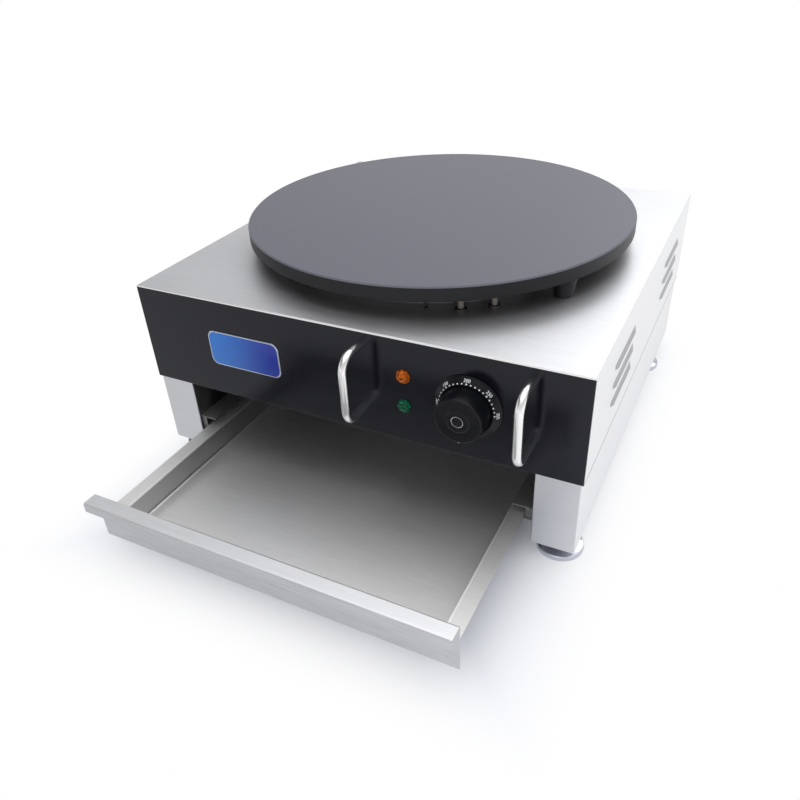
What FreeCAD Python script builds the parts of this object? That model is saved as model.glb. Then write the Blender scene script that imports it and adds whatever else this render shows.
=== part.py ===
import FreeCAD, Part
import math
import os
import Sketcher
from FreeCAD import Placement, Rotation, Vector

# Electric crepe maker: a cast griddle plate on a folded steel housing, with a drawer below.
# Millimetres. The origin is on the table, under the plate's axis; +Z is up and the controls
# face -Y. The drawer is drawn closed and stands open at rest.

SIZES = [
    # Housing
    ("body_width", 450.0, "housing, side to side"),
    ("body_depth", 445.0, "housing, front to back"),
    ("body_height", 182.0, "leg underside to cover top"),
    ("foot_height", 18.0, "table to leg underside"),
    ("cover_height", 103.7, "cover top to the skirt's lower edge"),
    ("cover_gauge", 1.5, "cover sheet"),
    ("cover_bend", 1.2, "rounding of the cover's outer edges"),
    ("chassis_gauge", 1.5, "side and rear panel sheet"),
    ("chassis_overlap", 25.0, "side wall hidden behind the skirt"),
    ("leg_width", 40.0, "front face of a leg"),
    ("leg_return", 21.0, "leg's inner return, front to back"),
    ("rear_flange", 14.0, "flange at the rear panel's foot"),
    ("panel_gauge", 2.0, "front panel sheet"),
    ("panel_flange", 14.0, "front panel's folded flanges"),
    ("floor_gauge", 1.0, "compartment floor sheet"),
    ("floor_upstand", 8.0, "compartment floor's upturned edges"),
    ("fit_gap", 0.3, "clearance between pieces that are put together"),
    # Louvres
    ("louvre_length", 80.0, "louvre, front to back"),
    ("louvre_height", 7.0, "louvre, top to bottom"),
    ("louvre_depth", 2.6, "how far a louvre stands proud"),
    ("louvre_end", 7.0, "sloped end of a louvre"),
    ("louvre_lip", 0.8, "face at a louvre's lower edge"),
    ("louvre_wall", 0.9, "wall of the pressed louvre"),
    ("louvre_pitch", 18.6, "louvre to louvre"),
    ("louvre_drop", 26.0, "cover top to the first louvre"),
    ("louvre_spread", 225.0, "front group's middle to rear group's middle"),
    # Griddle plate and what is under it
    ("plate_diameter", 400.0, "griddle plate"),
    ("plate_thickness", 14.0, "griddle plate"),
    ("plate_top_edge", 1.2, "chamfer round the cooking face"),
    ("plate_low_edge", 0.8, "chamfer round the underside"),
    ("lug_height", 18.0, "cover top to the plate's underside"),
    ("lug_inset", 12.0, "plate's edge to the middle of a lug"),
    ("lug_foot_radius", 8.5, "lug at the cover"),
    ("lug_root_radius", 11.5, "lug at the plate"),
    ("lug_angle", -30.0, "first lug, degrees from +X"),
    ("plate_screw_radius", 3.0, "screw shank into a lug"),
    ("plate_screw_head", 5.0, "radius of its head"),
    ("plate_screw_head_height", 4.0, "its head"),
    ("plate_screw_reach", 12.0, "length inside the lug"),
    ("element_radius", 3.25, "heating tube"),
    ("element_inset", 50.0, "plate's edge to the outer ring of the heating tube"),
    ("element_spacing", 40.0, "outer ring to inner ring"),
    ("element_turn_gap", 8.0, "between the tube's two turns at the back, less the tube's play"),
    ("element_end_room", 13.0, "heat shield's edge to the cold ends"),
    ("element_end_spacing", 30.0, "between the two cold ends"),
    ("element_bend", 12.0, "bends of the heating tube"),
    ("element_end_length", 30.0, "cold end below the cover top"),
    ("element_angle", 34.65, "turn of the heating tube about the plate axis"),
    ("element_gap", 0.2, "play above and below the heating tube"),
    ("ferrule_collar", 5.5, "radius of the ferrule's collar"),
    ("ferrule_collar_height", 2.0, "collar on the cover"),
    ("ferrule_sleeve", 4.6, "radius of the sleeve through the cover"),
    ("ferrule_sleeve_length", 8.0, "sleeve below the cover top"),
    ("clamp_margin", 8.0, "clamp plate beyond the outer ring"),
    ("clamp_reach", 40.0, "clamp plate inside the inner ring"),
    ("clamp_gauge", 1.5, "clamp plate sheet"),
    ("clamp_stud_radius", 3.0, "studs cast into the plate"),
    ("clamp_nut_radius", 5.7, "nut across corners, half"),
    ("clamp_nut_height", 4.0, "nut"),
    ("shield_margin", 7.0, "heat shield beyond the clamp plate"),
    ("shield_gauge", 1.0, "heat shield sheet"),
    ("shield_gap", 2.1, "heat shield's rim below the clamp plate"),
    ("insulation_inset", 5.0, "insulation disc inside the heat shield"),
    ("insulation_bore", 30.0, "insulation disc middle"),
    ("insulation_gap", 1.8, "insulation disc below the clamp nuts"),
    # Control panel
    ("control_drop", 51.0, "cover top to the line of the controls"),
    ("knob_across", 124.1, "knob axis from the middle"),
    ("dial_radius", 30.0, "dial bezel"),
    ("dial_edge", 1.2, "bezel's outer edge height"),
    ("dial_height", 6.4, "bezel's inner edge height"),
    ("dial_gap", 0.6, "between the knob's foot and the bezel"),
    ("dial_crest", 0.7, "flat at the bezel's inner edge"),
    ("dial_floor", 2.0, "bezel's floor"),
    ("knob_foot_radius", 22.9, "knob at its foot"),
    ("knob_face_radius", 20.9, "knob at its face"),
    ("knob_foot_gap", 0.4, "knob's foot above the screw heads"),
    ("knob_face", 24.7, "panel to the knob's face"),
    ("knob_edge", 1.6, "rounding of the knob's face"),
    ("knob_ring", 9.6, "raised ring on the face"),
    ("knob_ring_rise", 0.8, "height of that ring"),
    ("knob_cap_radius", 5.4, "plain cap in the knob's middle"),
    ("knob_cap_thickness", 1.1, "plain cap"),
    ("knob_cap_seat", 0.5, "cap's seat below the face"),
    ("pointer_width", 1.6, "pointer strip on the knob's side"),
    ("pointer_depth", 1.6, "pointer strip"),
    ("shaft_radius", 3.0, "thermostat shaft"),
    ("shaft_play", 0.05, "running clearance of the shaft"),
    ("shaft_reach", 17.0, "shaft in front of the panel"),
    ("shaft_inside", 15.0, "shaft behind the panel's face"),
    ("neck_radius", 4.8, "thermostat neck through the panel"),
    ("can_width", 31.0, "thermostat body"),
    ("can_height", 34.0, "thermostat body"),
    ("can_depth", 22.0, "thermostat body"),
    ("can_plate", 1.2, "thermostat mounting plate"),
    ("can_plate_width", 38.0, "thermostat mounting plate"),
    ("can_screw_spacing", 28.0, "the two screws that hold thermostat and bezel"),
    ("small_screw_radius", 2.0, "small screw shank"),
    ("small_screw_head", 3.5, "small screw head radius"),
    ("small_screw_head_height", 2.2, "small screw head"),
    ("small_screw_length", 8.0, "small screw shank length"),
    ("lamp_across", 64.3, "pilot lamps from the middle"),
    ("lamp_rise", 15.0, "lamps above and below the line of the controls"),
    ("lens_radius", 6.6, "lamp lens flange"),
    ("lens_flange", 1.4, "lamp lens flange"),
    ("lens_facet_radius", 5.9, "foot of the lens facets"),
    ("lens_table_radius", 3.2, "top of the lens facets"),
    ("lens_height", 5.2, "lens above the panel"),
    ("lamp_radius", 5.0, "lamp body"),
    ("lamp_length", 22.0, "lamp body behind the panel"),
    ("lamp_nut", 7.6, "lamp body's flange behind the panel"),
    ("lamp_nut_height", 3.0, "that flange"),
    ("badge_width", 81.0, "bare badge plate"),
    ("badge_height", 37.0, "bare badge plate"),
    ("badge_thickness", 1.2, "bare badge plate"),
    ("badge_corner", 8.0, "its corner radius"),
    ("badge_across", -104.5, "its middle from the housing's middle"),
    # Handles
    ("bar_radius", 4.0, "handle bar"),
    ("bar_standoff", 29.5, "panel face to the bar's axis"),
    ("bar_spacing", 64.0, "between a handle's two legs"),
    ("bar_bend", 14.0, "handle bend, to the bar's axis"),
    ("bar_drop", 46.5, "cover top to a handle's middle"),
    ("left_handle_across", 22.7, "left handle from the middle"),
    ("right_handle_across", 176.6, "right handle from the middle"),
    ("handle_screw_radius", 2.5, "screw into a handle leg"),
    ("handle_screw_head", 4.5, "its head radius"),
    ("handle_screw_head_height", 3.0, "its head"),
    ("handle_screw_reach", 10.0, "length inside the leg"),
    # Drawer
    ("drawer_open", 150.0, "how far the drawer stands open at rest"),
    ("drawer_travel", 250.0, "closed to the stops"),
    ("tray_side_gap", 6.3, "tray's rim to the runner's web"),
    ("tray_rear_gap", 58.8, "tray's back wall to the rear panel when it is shut"),
    ("tray_gauge", 1.0, "tray sheet"),
    ("tray_rim", 13.6, "side rims that slide in the runners"),
    ("tray_rear_rim", 8.0, "rear rim"),
    ("tray_rim_rise", 25.2, "leg underside to the rims"),
    ("tray_corner", 3.0, "inner bend along the tray floor"),
    ("tray_below", 0.5, "tray underside below the legs"),
    ("front_gauge", 1.2, "drawer front sheet"),
    ("front_side_gap", 5.4, "drawer front to a leg"),
    ("front_rise", 47.8, "leg underside to the drawer's lip"),
    ("lip_depth", 14.0, "lip in front of the drawer front"),
    ("lip_drop", 9.5, "lip's folded edge"),
    ("lip_bend", 1.9, "outer bend of the lip"),
    ("ear_gap", 1.7, "stop ear to the runner's web"),
    ("ear_length", 8.0, "stop ear, front to back"),
    # Runners
    ("runner_gauge", 1.5, "runner sheet"),
    ("runner_below", 0.4, "play under the rim"),
    ("runner_room", 9.3, "room above the rim"),
    ("runner_tray_gap", 2.4, "runner's flanges to the tray's side"),
    ("runner_setback", 2.5, "runner's front end behind the leg's face"),
    ("stop_gap", 1.3, "stop at the runner's front end, to the rim"),
    ("stop_clearance", 0.8, "stop above the lower flange"),
    ("runner_screw_back", 12.5, "runner screw behind the leg's face"),
    # Levelling feet
    ("foot_radius", 21.7, "foot pad"),
    ("foot_wall", 3.2, "pad's upright edge"),
    ("foot_shoulder", 1.8, "rounding above that edge"),
    ("foot_dome", 9.0, "top of the dome"),
    ("foot_collar", 7.5, "collar round the stud"),
    ("foot_collar_gap", 1.7, "collar to the lock nut"),
    ("stud_radius", 4.0, "foot stud"),
    ("stud_play", 0.05, "running clearance of the stud"),
    ("stud_rise", 24.0, "leg underside to the stud's top"),
    ("stud_seat", 3.5, "where the stud starts in the pad"),
    ("lock_nut_radius", 7.5, "lock nut across corners, half"),
    ("lock_nut_height", 5.0, "lock nut"),
    ("weld_nut_height", 6.5, "nut welded inside the leg"),
    ("foot_inset", 20.0, "foot from the housing's side"),
    ("foot_front", 27.0, "front foot behind the housing's front"),
    ("foot_rear", 65.0, "rear foot before the housing's back"),
    # Rear and inside
    ("gland_across", -150.0, "cord gland from the middle"),
    ("gland_drop", 50.0, "cover top to the gland"),
    ("gland_bore", 4.2, "gland's bore"),
    ("gland_thread", 7.9, "gland's thread"),
    ("gland_hex", 12.0, "gland's hexagon across corners, half"),
    ("gland_hex_height", 6.0, "gland's hexagon"),
    ("gland_dome", 9.5, "gland's clamping nut"),
    ("gland_reach", 20.0, "gland behind the cover"),
    ("gland_inside", 10.0, "gland's thread inside the cover"),
    ("gland_nut_height", 5.0, "gland's inner nut"),
    ("cover_screw_inner", 70.0, "inner cover screws from the middle"),
    ("cover_screw_inset", 25.0, "outer cover screws from the housing's sides"),
    ("cover_screw_below", 7.0, "cover screws below the chassis edge"),
    ("bulb_radius", 3.0, "sensor bulb"),
    ("bulb_length", 90.0, "sensor bulb"),
    ("bulb_gap", 0.5, "clamp plate to the sensor bulb"),
    ("capillary_radius", 0.9, "capillary"),
    ("capillary_down", 13.0, "bulb end to the capillary's way down"),
    ("capillary_bend", 6.0, "capillary bends"),
    ("capillary_level", 20.0, "cover top to the capillary's level run"),
    ("capillary_inside", 12.0, "capillary's entry behind the panel"),
    ("cutout_radius", 13.0, "safety cut-out"),
    ("cutout_height", 14.0, "safety cut-out"),
    ("cutout_flange", 20.0, "half the length of its flange"),
    ("cutout_across", -60.0, "cut-out from the middle"),
    ("cutout_forward", 110.0, "cut-out in front of the plate axis"),
    ("block_length", 76.0, "terminal block"),
    ("block_width", 24.0, "terminal block"),
    ("block_height", 18.0, "terminal block"),
    ("block_across", 30.0, "terminal block from the middle"),
    ("block_forward", 60.0, "terminal block in front of the plate axis"),
    ("block_pitch", 14.0, "terminal to terminal"),
    ("block_well", 3.5, "radius of a terminal's screw well"),
    ("earth_across", -40.0, "earth stud from the middle"),
    ("wire_radius", 1.6, "wire"),
    ("wire_bend", 9.0, "wire bends"),
    ("wire_rise", 26.0, "highest wire above the terminal block"),
    ("wire_drop", 16.0, "second wire below the highest"),
    ("wire_lead", 30.0, "straight lead before a wire turns to its terminal"),
]

EXPORT_FOLDER = "parts"
NORMALS = {"XY_Plane": 1, "XZ_Plane": -1, "YZ_Plane": 1}
UPRIGHT = Rotation(Vector(0, 0, 1), 0)
FACING_OUT = Rotation(Vector(1, 0, 0), 90)
FACING_IN = Rotation(Vector(1, 0, 0), -90)
LENS_FACET_COUNT = 8
LUG_COUNT = 3
STUD_COUNT = 3
LOUVRE_COUNT = 3
WELL_COUNT = 5


class Size:
    """A length worked out from the sheet: its number now, and the expression that keeps it."""

    def __init__(self, number, text):
        self.number = number
        self.text = text

    def __float__(self):
        return self.number

    def __add__(self, other):
        other = as_size(other)
        return Size(self.number + other.number, f"({self.text} + {other.text})")

    def __radd__(self, other):
        return as_size(other) + self

    def __sub__(self, other):
        other = as_size(other)
        return Size(self.number - other.number, f"({self.text} - {other.text})")

    def __rsub__(self, other):
        return as_size(other) - self

    def __mul__(self, other):
        other = as_size(other)
        return Size(self.number * other.number, f"({self.text} * {other.text})")

    __rmul__ = __mul__

    def __truediv__(self, other):
        other = as_size(other)
        return Size(self.number / other.number, f"({self.text} / {other.text})")

    def __neg__(self):
        return Size(-self.number, f"(-1 * {self.text})")


def as_size(value):
    if isinstance(value, Size):
        return value
    return Size(float(value), f"({float(value):.9f})")


class Driving:
    """The driving dimensions, one attribute for each cell of the sheet."""


doc = FreeCAD.newDocument("crepe_maker")
sheet = doc.addObject("Spreadsheet::Sheet", "Sizes")
d = Driving()
pieces = {}


def fill_sheet():
    for row, (alias, value, meaning) in enumerate(SIZES, start=1):
        sheet.set(f"A{row}", alias)
        sheet.set(f"B{row}", str(value))
        sheet.set(f"C{row}", meaning)
        sheet.setAlias(f"B{row}", alias)
    doc.recompute()
    for alias, _, _ in SIZES:
        setattr(d, alias, Size(float(sheet.get(alias)), f"Sizes.{alias}"))


fill_sheet()

# Planes and lines that several pieces share
half_width = d.body_width / 2
front = -d.body_depth / 2
back = d.body_depth / 2
leg_bottom = d.foot_height
cover_top = d.foot_height + d.body_height
cover_under = cover_top - d.cover_gauge
skirt_bottom = cover_top - d.cover_height
panel_back = front + d.panel_gauge
wall_out = half_width - d.cover_gauge
wall_in = wall_out - d.chassis_gauge
leg_in = wall_out - d.leg_width
chassis_back = back - d.cover_gauge
rear_in = chassis_back - d.chassis_gauge
chassis_top = skirt_bottom + d.chassis_overlap
floor_under = skirt_bottom + d.panel_gauge
floor_top = floor_under + d.floor_gauge
plate_under = cover_top + d.lug_height
plate_top = plate_under + d.plate_thickness
control_level = cover_top - d.control_drop
handle_level = cover_top - d.bar_drop
plate_radius = d.plate_diameter / 2
lug_circle = plate_radius - d.lug_inset
element_outer = plate_radius - d.element_inset
element_inner = element_outer - d.element_spacing
element_level = plate_under - d.element_gap - d.element_radius
clamp_radius = element_outer + d.clamp_margin
clamp_top = element_level - d.element_radius - d.element_gap
clamp_under = clamp_top - d.clamp_gauge
clamp_nut_under = clamp_under - d.clamp_nut_height
shield_radius = clamp_radius + d.shield_margin
element_end_circle = shield_radius + d.element_end_room
dial_inner = d.knob_foot_radius + d.dial_gap
knob_foot = d.dial_floor + d.small_screw_head_height + d.knob_foot_gap
rim_top = leg_bottom + d.tray_rim_rise
rim_under = rim_top - d.tray_gauge
runner_web = leg_in - d.runner_gauge
rim_out = runner_web - d.tray_side_gap
tray_out = rim_out - d.tray_rim
tray_in = tray_out - d.tray_gauge
tray_bottom = leg_bottom - d.tray_below
tray_front = panel_back + d.front_gauge
tray_back = rear_in - d.tray_rear_gap
lip_top = leg_bottom + d.front_rise
front_half_width = leg_in - d.front_side_gap
runner_shelf = rim_under - d.runner_below
runner_ceiling = rim_top + d.runner_room
runner_front = panel_back + d.runner_setback
runner_edge = tray_out + d.runner_tray_gap
runner_screw_level = (runner_shelf + runner_ceiling) / 2
foot_across = half_width - d.foot_inset
front_foot = front + d.foot_front
rear_foot = back - d.foot_rear
gland_level = cover_top - d.gland_drop
cover_screw_level = chassis_top - d.cover_screw_below
screw_hole = d.small_screw_radius + d.fit_gap / 2


def bind(item, name, value):
    item.setExpression(name, as_size(value).text)


def place(item, at, turn=UPRIGHT):
    """Puts a piece at a point of the object's frame; the point stays tied to the sheet."""
    at = [as_size(value) for value in at]
    item.Placement = Placement(Vector(*(float(value) for value in at)), turn)
    for letter, value in zip("xyz", at):
        bind(item, f"Placement.Base.{letter}", value)
    return item


def keep(item, label):
    """Makes an object one of the pieces that are written out."""
    item.Label = label
    pieces[label] = item
    return item


def new_body(label):
    return keep(doc.addObject("PartDesign::Body", label), label)


def origin_feature(body, role):
    return next(item for item in body.Origin.OriginFeatures if item.Role == role)


def new_sketch(body, plane, level):
    sketch = body.newObject("Sketcher::SketchObject", "Sketch")
    sketch.AttachmentSupport = [(origin_feature(body, plane), "")]
    sketch.MapMode = "FlatFace"
    bind(sketch, "AttachmentOffset.Base.z", NORMALS[plane] * as_size(level))
    return sketch


def pin(sketch, geometry, vertex, point):
    for kind, value in zip(("DistanceX", "DistanceY"), point):
        rule = Sketcher.Constraint(kind, -1, 1, geometry, vertex, float(value))
        bind(sketch, f"Constraints[{sketch.addConstraint(rule)}]", value)


def draw_outline(sketch, points):
    """A closed outline of straight lines, each corner held by the sheet."""
    points = [(as_size(x), as_size(y)) for x, y in points]
    ends = points[1:] + points[:1]
    for start, end in zip(points, ends):
        corners = [Vector(float(x), float(y), 0) for x, y in (start, end)]
        sketch.addGeometry(Part.LineSegment(*corners))
    for number, point in enumerate(points):
        following = (number + 1) % len(points)
        sketch.addConstraint(Sketcher.Constraint("Coincident", number, 2, following, 1))
        pin(sketch, number, 1, point)


def draw_circles(sketch, circles):
    for number, (x, y, radius) in enumerate(circles):
        x, y, radius = as_size(x), as_size(y), as_size(radius)
        centre = Vector(float(x), float(y), 0)
        sketch.addGeometry(Part.Circle(centre, Vector(0, 0, 1), float(radius)))
        rule = sketch.addConstraint(Sketcher.Constraint("Radius", number, float(radius)))
        bind(sketch, f"Constraints[{rule}]", radius)
        pin(sketch, number, 3, (x, y))


def oblong(x_low, x_high, y_low, y_high):
    return [(x_low, y_low), (x_high, y_low), (x_high, y_high), (x_low, y_high)]


def extrude(body, kind, plane, level, length, toward, points, circles):
    sketch = new_sketch(body, plane, level)
    if points:
        draw_outline(sketch, points)
    draw_circles(sketch, circles)
    feature = body.newObject(f"PartDesign::{kind}", kind)
    feature.Profile = sketch
    bind(feature, "Length", length)
    along = toward == NORMALS[plane]
    feature.Reversed = along if kind == "Pocket" else not along
    return feature


def add(body, plane, level, length, toward, points=(), circles=()):
    """Adds the outline's prism, from the level and in the direction given."""
    return extrude(body, "Pad", plane, level, length, toward, points, circles)


def cut(body, plane, level, length, toward, points=(), circles=()):
    """Cuts the outline's prism, from the level and in the direction given."""
    return extrude(body, "Pocket", plane, level, length, toward, points, circles)


def turn_profile(body, points):
    """Turns a closed outline of radii and heights about the vertical axis."""
    sketch = new_sketch(body, "XZ_Plane", 0)
    draw_outline(sketch, points)
    feature = body.newObject("PartDesign::Revolution", "Revolution")
    feature.Profile = sketch
    feature.ReferenceAxis = (sketch, ["V_Axis"])
    feature.Angle = 360
    return feature


def turned(label, points):
    body = new_body(label)
    turn_profile(body, points)
    return body


def loft(body, kind, plane, levels, outlines):
    sketches = [new_sketch(body, plane, level) for level in levels]
    for sketch, points in zip(sketches, outlines):
        draw_outline(sketch, points)
    feature = body.newObject(f"PartDesign::{kind}", kind)
    feature.Profile = sketches[0]
    feature.Sections = sketches[1:]
    feature.Ruled = True
    return feature


def dress(body, kind, amount, chosen):
    """Fillets or chamfers the edges that chosen() picks on the body as it stands."""
    doc.recompute()
    base = body.Tip
    names = [f"Edge{n}" for n, e in enumerate(base.Shape.Edges, start=1) if chosen(e)]
    if not names:
        raise RuntimeError(f"{body.Label}: no edge to dress")
    feature = body.newObject(f"PartDesign::{kind}", kind)
    feature.Base = (base, names)
    bind(feature, "Radius" if kind == "Fillet" else "Size", amount)
    return feature


def edge_at(edge, x=None, y=None, z=None, near=0.01):
    """Whether an edge lies wholly at the coordinates given."""
    box = edge.BoundBox
    spans = ((x, box.XMin, box.XMax), (y, box.YMin, box.YMax), (z, box.ZMin, box.ZMax))
    return all(
        wanted is None or (abs(low - float(wanted)) < near and abs(high - float(wanted)) < near)
        for wanted, low, high in spans
    )


def circle_at(edge, radius, z, near=0.01):
    """Whether an edge is a circle of that radius at that height."""
    return (
        isinstance(edge.Curve, Part.Circle)
        and abs(edge.Curve.Radius - float(radius)) < near
        and edge_at(edge, z=z, near=near)
    )


def polar(body, originals, count):
    pattern = body.newObject("PartDesign::PolarPattern", "PolarPattern")
    pattern.Originals = originals
    pattern.Axis = (origin_feature(body, "Z_Axis"), [""])
    pattern.Angle = 360
    pattern.Occurrences = count
    body.Tip = pattern
    return pattern


def rod(radius, length, at=(0, 0, 0), turn=UPRIGHT):
    item = doc.addObject("Part::Cylinder", "Cylinder")
    bind(item, "Radius", radius)
    bind(item, "Height", length)
    return place(item, at, turn)


def block(x, y, z):
    item = doc.addObject("Part::Box", "Box")
    for name, (low, high) in zip(("Length", "Width", "Height"), (x, y, z)):
        bind(item, name, as_size(high) - low)
    return place(item, [low for low, _ in (x, y, z)])


def hexagon(corner_radius, height, at=(0, 0, 0), turn=UPRIGHT):
    item = doc.addObject("Part::Prism", "Prism")
    item.Polygon = 6
    bind(item, "Circumradius", corner_radius)
    bind(item, "Height", height)
    return place(item, at, turn)


def fused(*items):
    item = doc.addObject("Part::MultiFuse", "Fusion")
    item.Shapes = list(items)
    return item


def without(base, tool):
    item = doc.addObject("Part::Cut", "Cut")
    item.Base = base
    item.Tool = tool
    return item


def group(label, items):
    """Like pieces that share one node, each a separate solid."""
    item = doc.addObject("Part::Compound", label)
    item.Links = items
    return keep(item, label)


def nut(corner_radius, height, bore, at=(0, 0, 0), turn=UPRIGHT):
    return place(without(hexagon(corner_radius, height), rod(bore, height)), at, turn)


def pan_screw(head_radius, head_height, shank_radius, shank_length, at, turn):
    """A screw whose head sits on the plane through the point, with its shank going down."""
    head = rod(head_radius, head_height)
    shank = rod(shank_radius, shank_length, (0, 0, -as_size(shank_length)))
    return place(fused(head, shank), at, turn)


def small_screw(at, turn, length=d.small_screw_length):
    head = (d.small_screw_head, d.small_screw_head_height)
    return pan_screw(*head, d.small_screw_radius, length, at, turn)


def rounded_wire(points, bend):
    """A path of straight runs joined by tangent arcs."""
    points = [Vector(*(float(value) for value in point)) for point in points]
    bend = float(bend)
    edges = []
    start = points[0]
    for before, corner, after in zip(points, points[1:], points[2:]):
        way_in = (corner - before).normalize()
        way_out = (after - corner).normalize()
        turn = way_in.getAngle(way_out)
        cut_back = bend * math.tan(turn / 2)
        arc_start = corner - way_in * cut_back
        arc_end = corner + way_out * cut_back
        middle = (way_out - way_in).normalize()
        centre = corner + middle * (bend / math.cos(turn / 2))
        edges.append(Part.LineSegment(start, arc_start).toShape())
        edges.append(Part.Arc(arc_start, centre - middle * bend, arc_end).toShape())
        start = arc_end
    edges.append(Part.LineSegment(start, points[-1]).toShape())
    return Part.Wire(edges)


def tube(wire, radius):
    """A solid round rod along a path of lines and arcs."""
    first = wire.Edges[0]
    start = first.valueAt(first.FirstParameter)
    heading = first.tangentAt(first.FirstParameter)
    profile = Part.Wire(Part.makeCircle(float(radius), start, heading))
    return wire.makePipeShell([profile], True, True)


def from_shape(label, shape):
    item = doc.addObject("Part::Feature", label)
    item.Shape = shape
    item.Placement = Placement()
    return keep(item, label)


def make_top_cover():
    body = new_body("top_cover")
    section = [
        (-half_width, skirt_bottom),
        (-half_width, cover_top),
        (half_width, cover_top),
        (half_width, skirt_bottom),
        (wall_out, skirt_bottom),
        (wall_out, cover_under),
        (-wall_out, cover_under),
        (-wall_out, skirt_bottom),
    ]
    add(body, "XZ_Plane", front, d.body_depth, 1, section)
    rear_skirt = oblong(-wall_out, wall_out, skirt_bottom, cover_under)
    add(body, "XZ_Plane", chassis_back, d.cover_gauge, 1, rear_skirt)
    behind_panel = oblong(-half_width - 1, half_width + 1, skirt_bottom - 1, cover_under)
    cut(body, "XZ_Plane", front, d.panel_gauge, 1, behind_panel)

    def outer_edge(edge):
        sides = any(edge_at(edge, x=side * half_width, z=cover_top) for side in (-1, 1))
        ends = any(edge_at(edge, y=end, z=cover_top) for end in (front, back))
        corners = any(edge_at(edge, x=side * half_width, y=back) for side in (-1, 1))
        return sides or ends or corners

    dress(body, "Fillet", d.cover_bend, outer_edge)
    cut(body, "XY_Plane", cover_top, d.cover_gauge, -1, circles=cover_holes())
    rear_holes = [(x, cover_screw_level, screw_hole) for x in cover_screw_places()]
    rear_holes.append((d.gland_across, gland_level, d.gland_thread + d.fit_gap))
    cut(body, "XZ_Plane", chassis_back, d.cover_gauge, 1, circles=rear_holes)
    add_louvres(body)
    return body


def add_louvres(body):
    """Three pressed louvres, repeated towards the back and on the other side."""
    middle = -d.louvre_spread / 2
    first = cover_top - d.louvre_drop
    foot = first - d.louvre_height
    near_end = middle - d.louvre_length / 2
    far_end = middle + d.louvre_length / 2
    hood_root = oblong(near_end, far_end, foot, first)
    hood_lip = oblong(
        near_end + d.louvre_end, far_end - d.louvre_end, foot, foot + d.louvre_lip
    )
    hood = loft(
        body,
        "AdditiveLoft",
        "YZ_Plane",
        (half_width, half_width + d.louvre_depth),
        (hood_root, hood_lip),
    )
    wall = d.louvre_wall
    hollow_root = oblong(near_end + wall, far_end - wall, foot, first - wall)
    hollow_lip = oblong(
        near_end + d.louvre_end + wall,
        far_end - d.louvre_end - wall,
        foot,
        foot + d.louvre_lip / 4,
    )
    hollow = loft(
        body,
        "SubtractiveLoft",
        "YZ_Plane",
        (wall_out, half_width + d.louvre_depth - wall),
        (hollow_root, hollow_lip),
    )
    row = body.newObject("PartDesign::LinearPattern", "LinearPattern")
    row.Direction = (origin_feature(body, "Z_Axis"), [""])
    row.Reversed = True
    row.Occurrences = LOUVRE_COUNT
    bind(row, "Length", (LOUVRE_COUNT - 1) * d.louvre_pitch)
    to_the_back = body.newObject("PartDesign::Mirrored", "Mirrored")
    to_the_back.MirrorPlane = (origin_feature(body, "XZ_Plane"), [""])
    to_the_left = body.newObject("PartDesign::Mirrored", "Mirrored")
    to_the_left.MirrorPlane = (origin_feature(body, "YZ_Plane"), [""])
    every = body.newObject("PartDesign::MultiTransform", "MultiTransform")
    every.Originals = [hood, hollow]
    every.Transformations = [row, to_the_back, to_the_left]
    body.Tip = every


def lug_places():
    angles = [float(d.lug_angle) + 360 * n / LUG_COUNT for n in range(LUG_COUNT)]
    return [on_circle(lug_circle, angle) for angle in angles]


def on_circle(radius, angle):
    turn = math.radians(angle)
    return math.cos(turn) * radius, math.sin(turn) * radius


def element_ends():
    """Where the heating tube's two cold ends go down through the cover."""
    half = d.element_end_spacing / 2
    turn = math.radians(float(d.element_angle))
    ends = [(side * half, -element_end_circle) for side in (-1, 1)]
    return [
        (math.cos(turn) * x - math.sin(turn) * y, math.sin(turn) * x + math.cos(turn) * y)
        for x, y in ends
    ]


def capillary_way_down():
    return d.bulb_length / 2 + d.capillary_down, -clamp_radius - d.bulb_gap - d.bulb_radius


def cover_holes():
    lugs = [(x, y, d.plate_screw_radius + d.fit_gap) for x, y in lug_places()]
    ends = [(x, y, d.ferrule_sleeve + d.fit_gap / 3) for x, y in element_ends()]
    sensor = [(*capillary_way_down(), d.capillary_radius + 1.5)]
    return lugs + ends + sensor


def cover_screw_places():
    spots = (half_width - d.cover_screw_inset, d.cover_screw_inner)
    return [side * spot for spot in spots for side in (-1, 1)]


def make_front_panel():
    body = new_body("front_panel")
    face = oblong(-half_width, half_width, skirt_bottom, cover_under)
    add(body, "XZ_Plane", front, d.panel_gauge, 1, face)
    upper = wall_out - d.fit_gap
    flange_back = panel_back + d.panel_flange
    add(body, "XY_Plane", cover_under, d.panel_gauge, -1, oblong(-upper, upper, panel_back, flange_back))
    lower = leg_in - d.fit_gap
    add(body, "XY_Plane", skirt_bottom, d.panel_gauge, 1, oblong(-lower, lower, panel_back, flange_back))
    dress(body, "Fillet", d.cover_bend, lambda edge: edge_at(edge, y=front, z=skirt_bottom))
    holes = [(d.lamp_across, level, d.lamp_radius + d.fit_gap / 2) for level in lamp_levels()]
    holes.append((d.knob_across, control_level, d.neck_radius + d.fit_gap / 2))
    holes += [(x, control_level, screw_hole) for x in dial_screw_places()]
    holes += [(x, z, d.handle_screw_radius + d.fit_gap / 2) for x, z in handle_legs()]
    cut(body, "XZ_Plane", front, d.panel_gauge, 1, circles=holes)
    return body


def lamp_levels():
    return control_level + d.lamp_rise, control_level - d.lamp_rise


def dial_screw_places():
    return [d.knob_across + side * d.can_screw_spacing / 2 for side in (-1, 1)]


def handle_legs():
    places = (d.left_handle_across, d.right_handle_across)
    return [(x, handle_level + side * d.bar_spacing / 2) for x in places for side in (-1, 1)]


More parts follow.
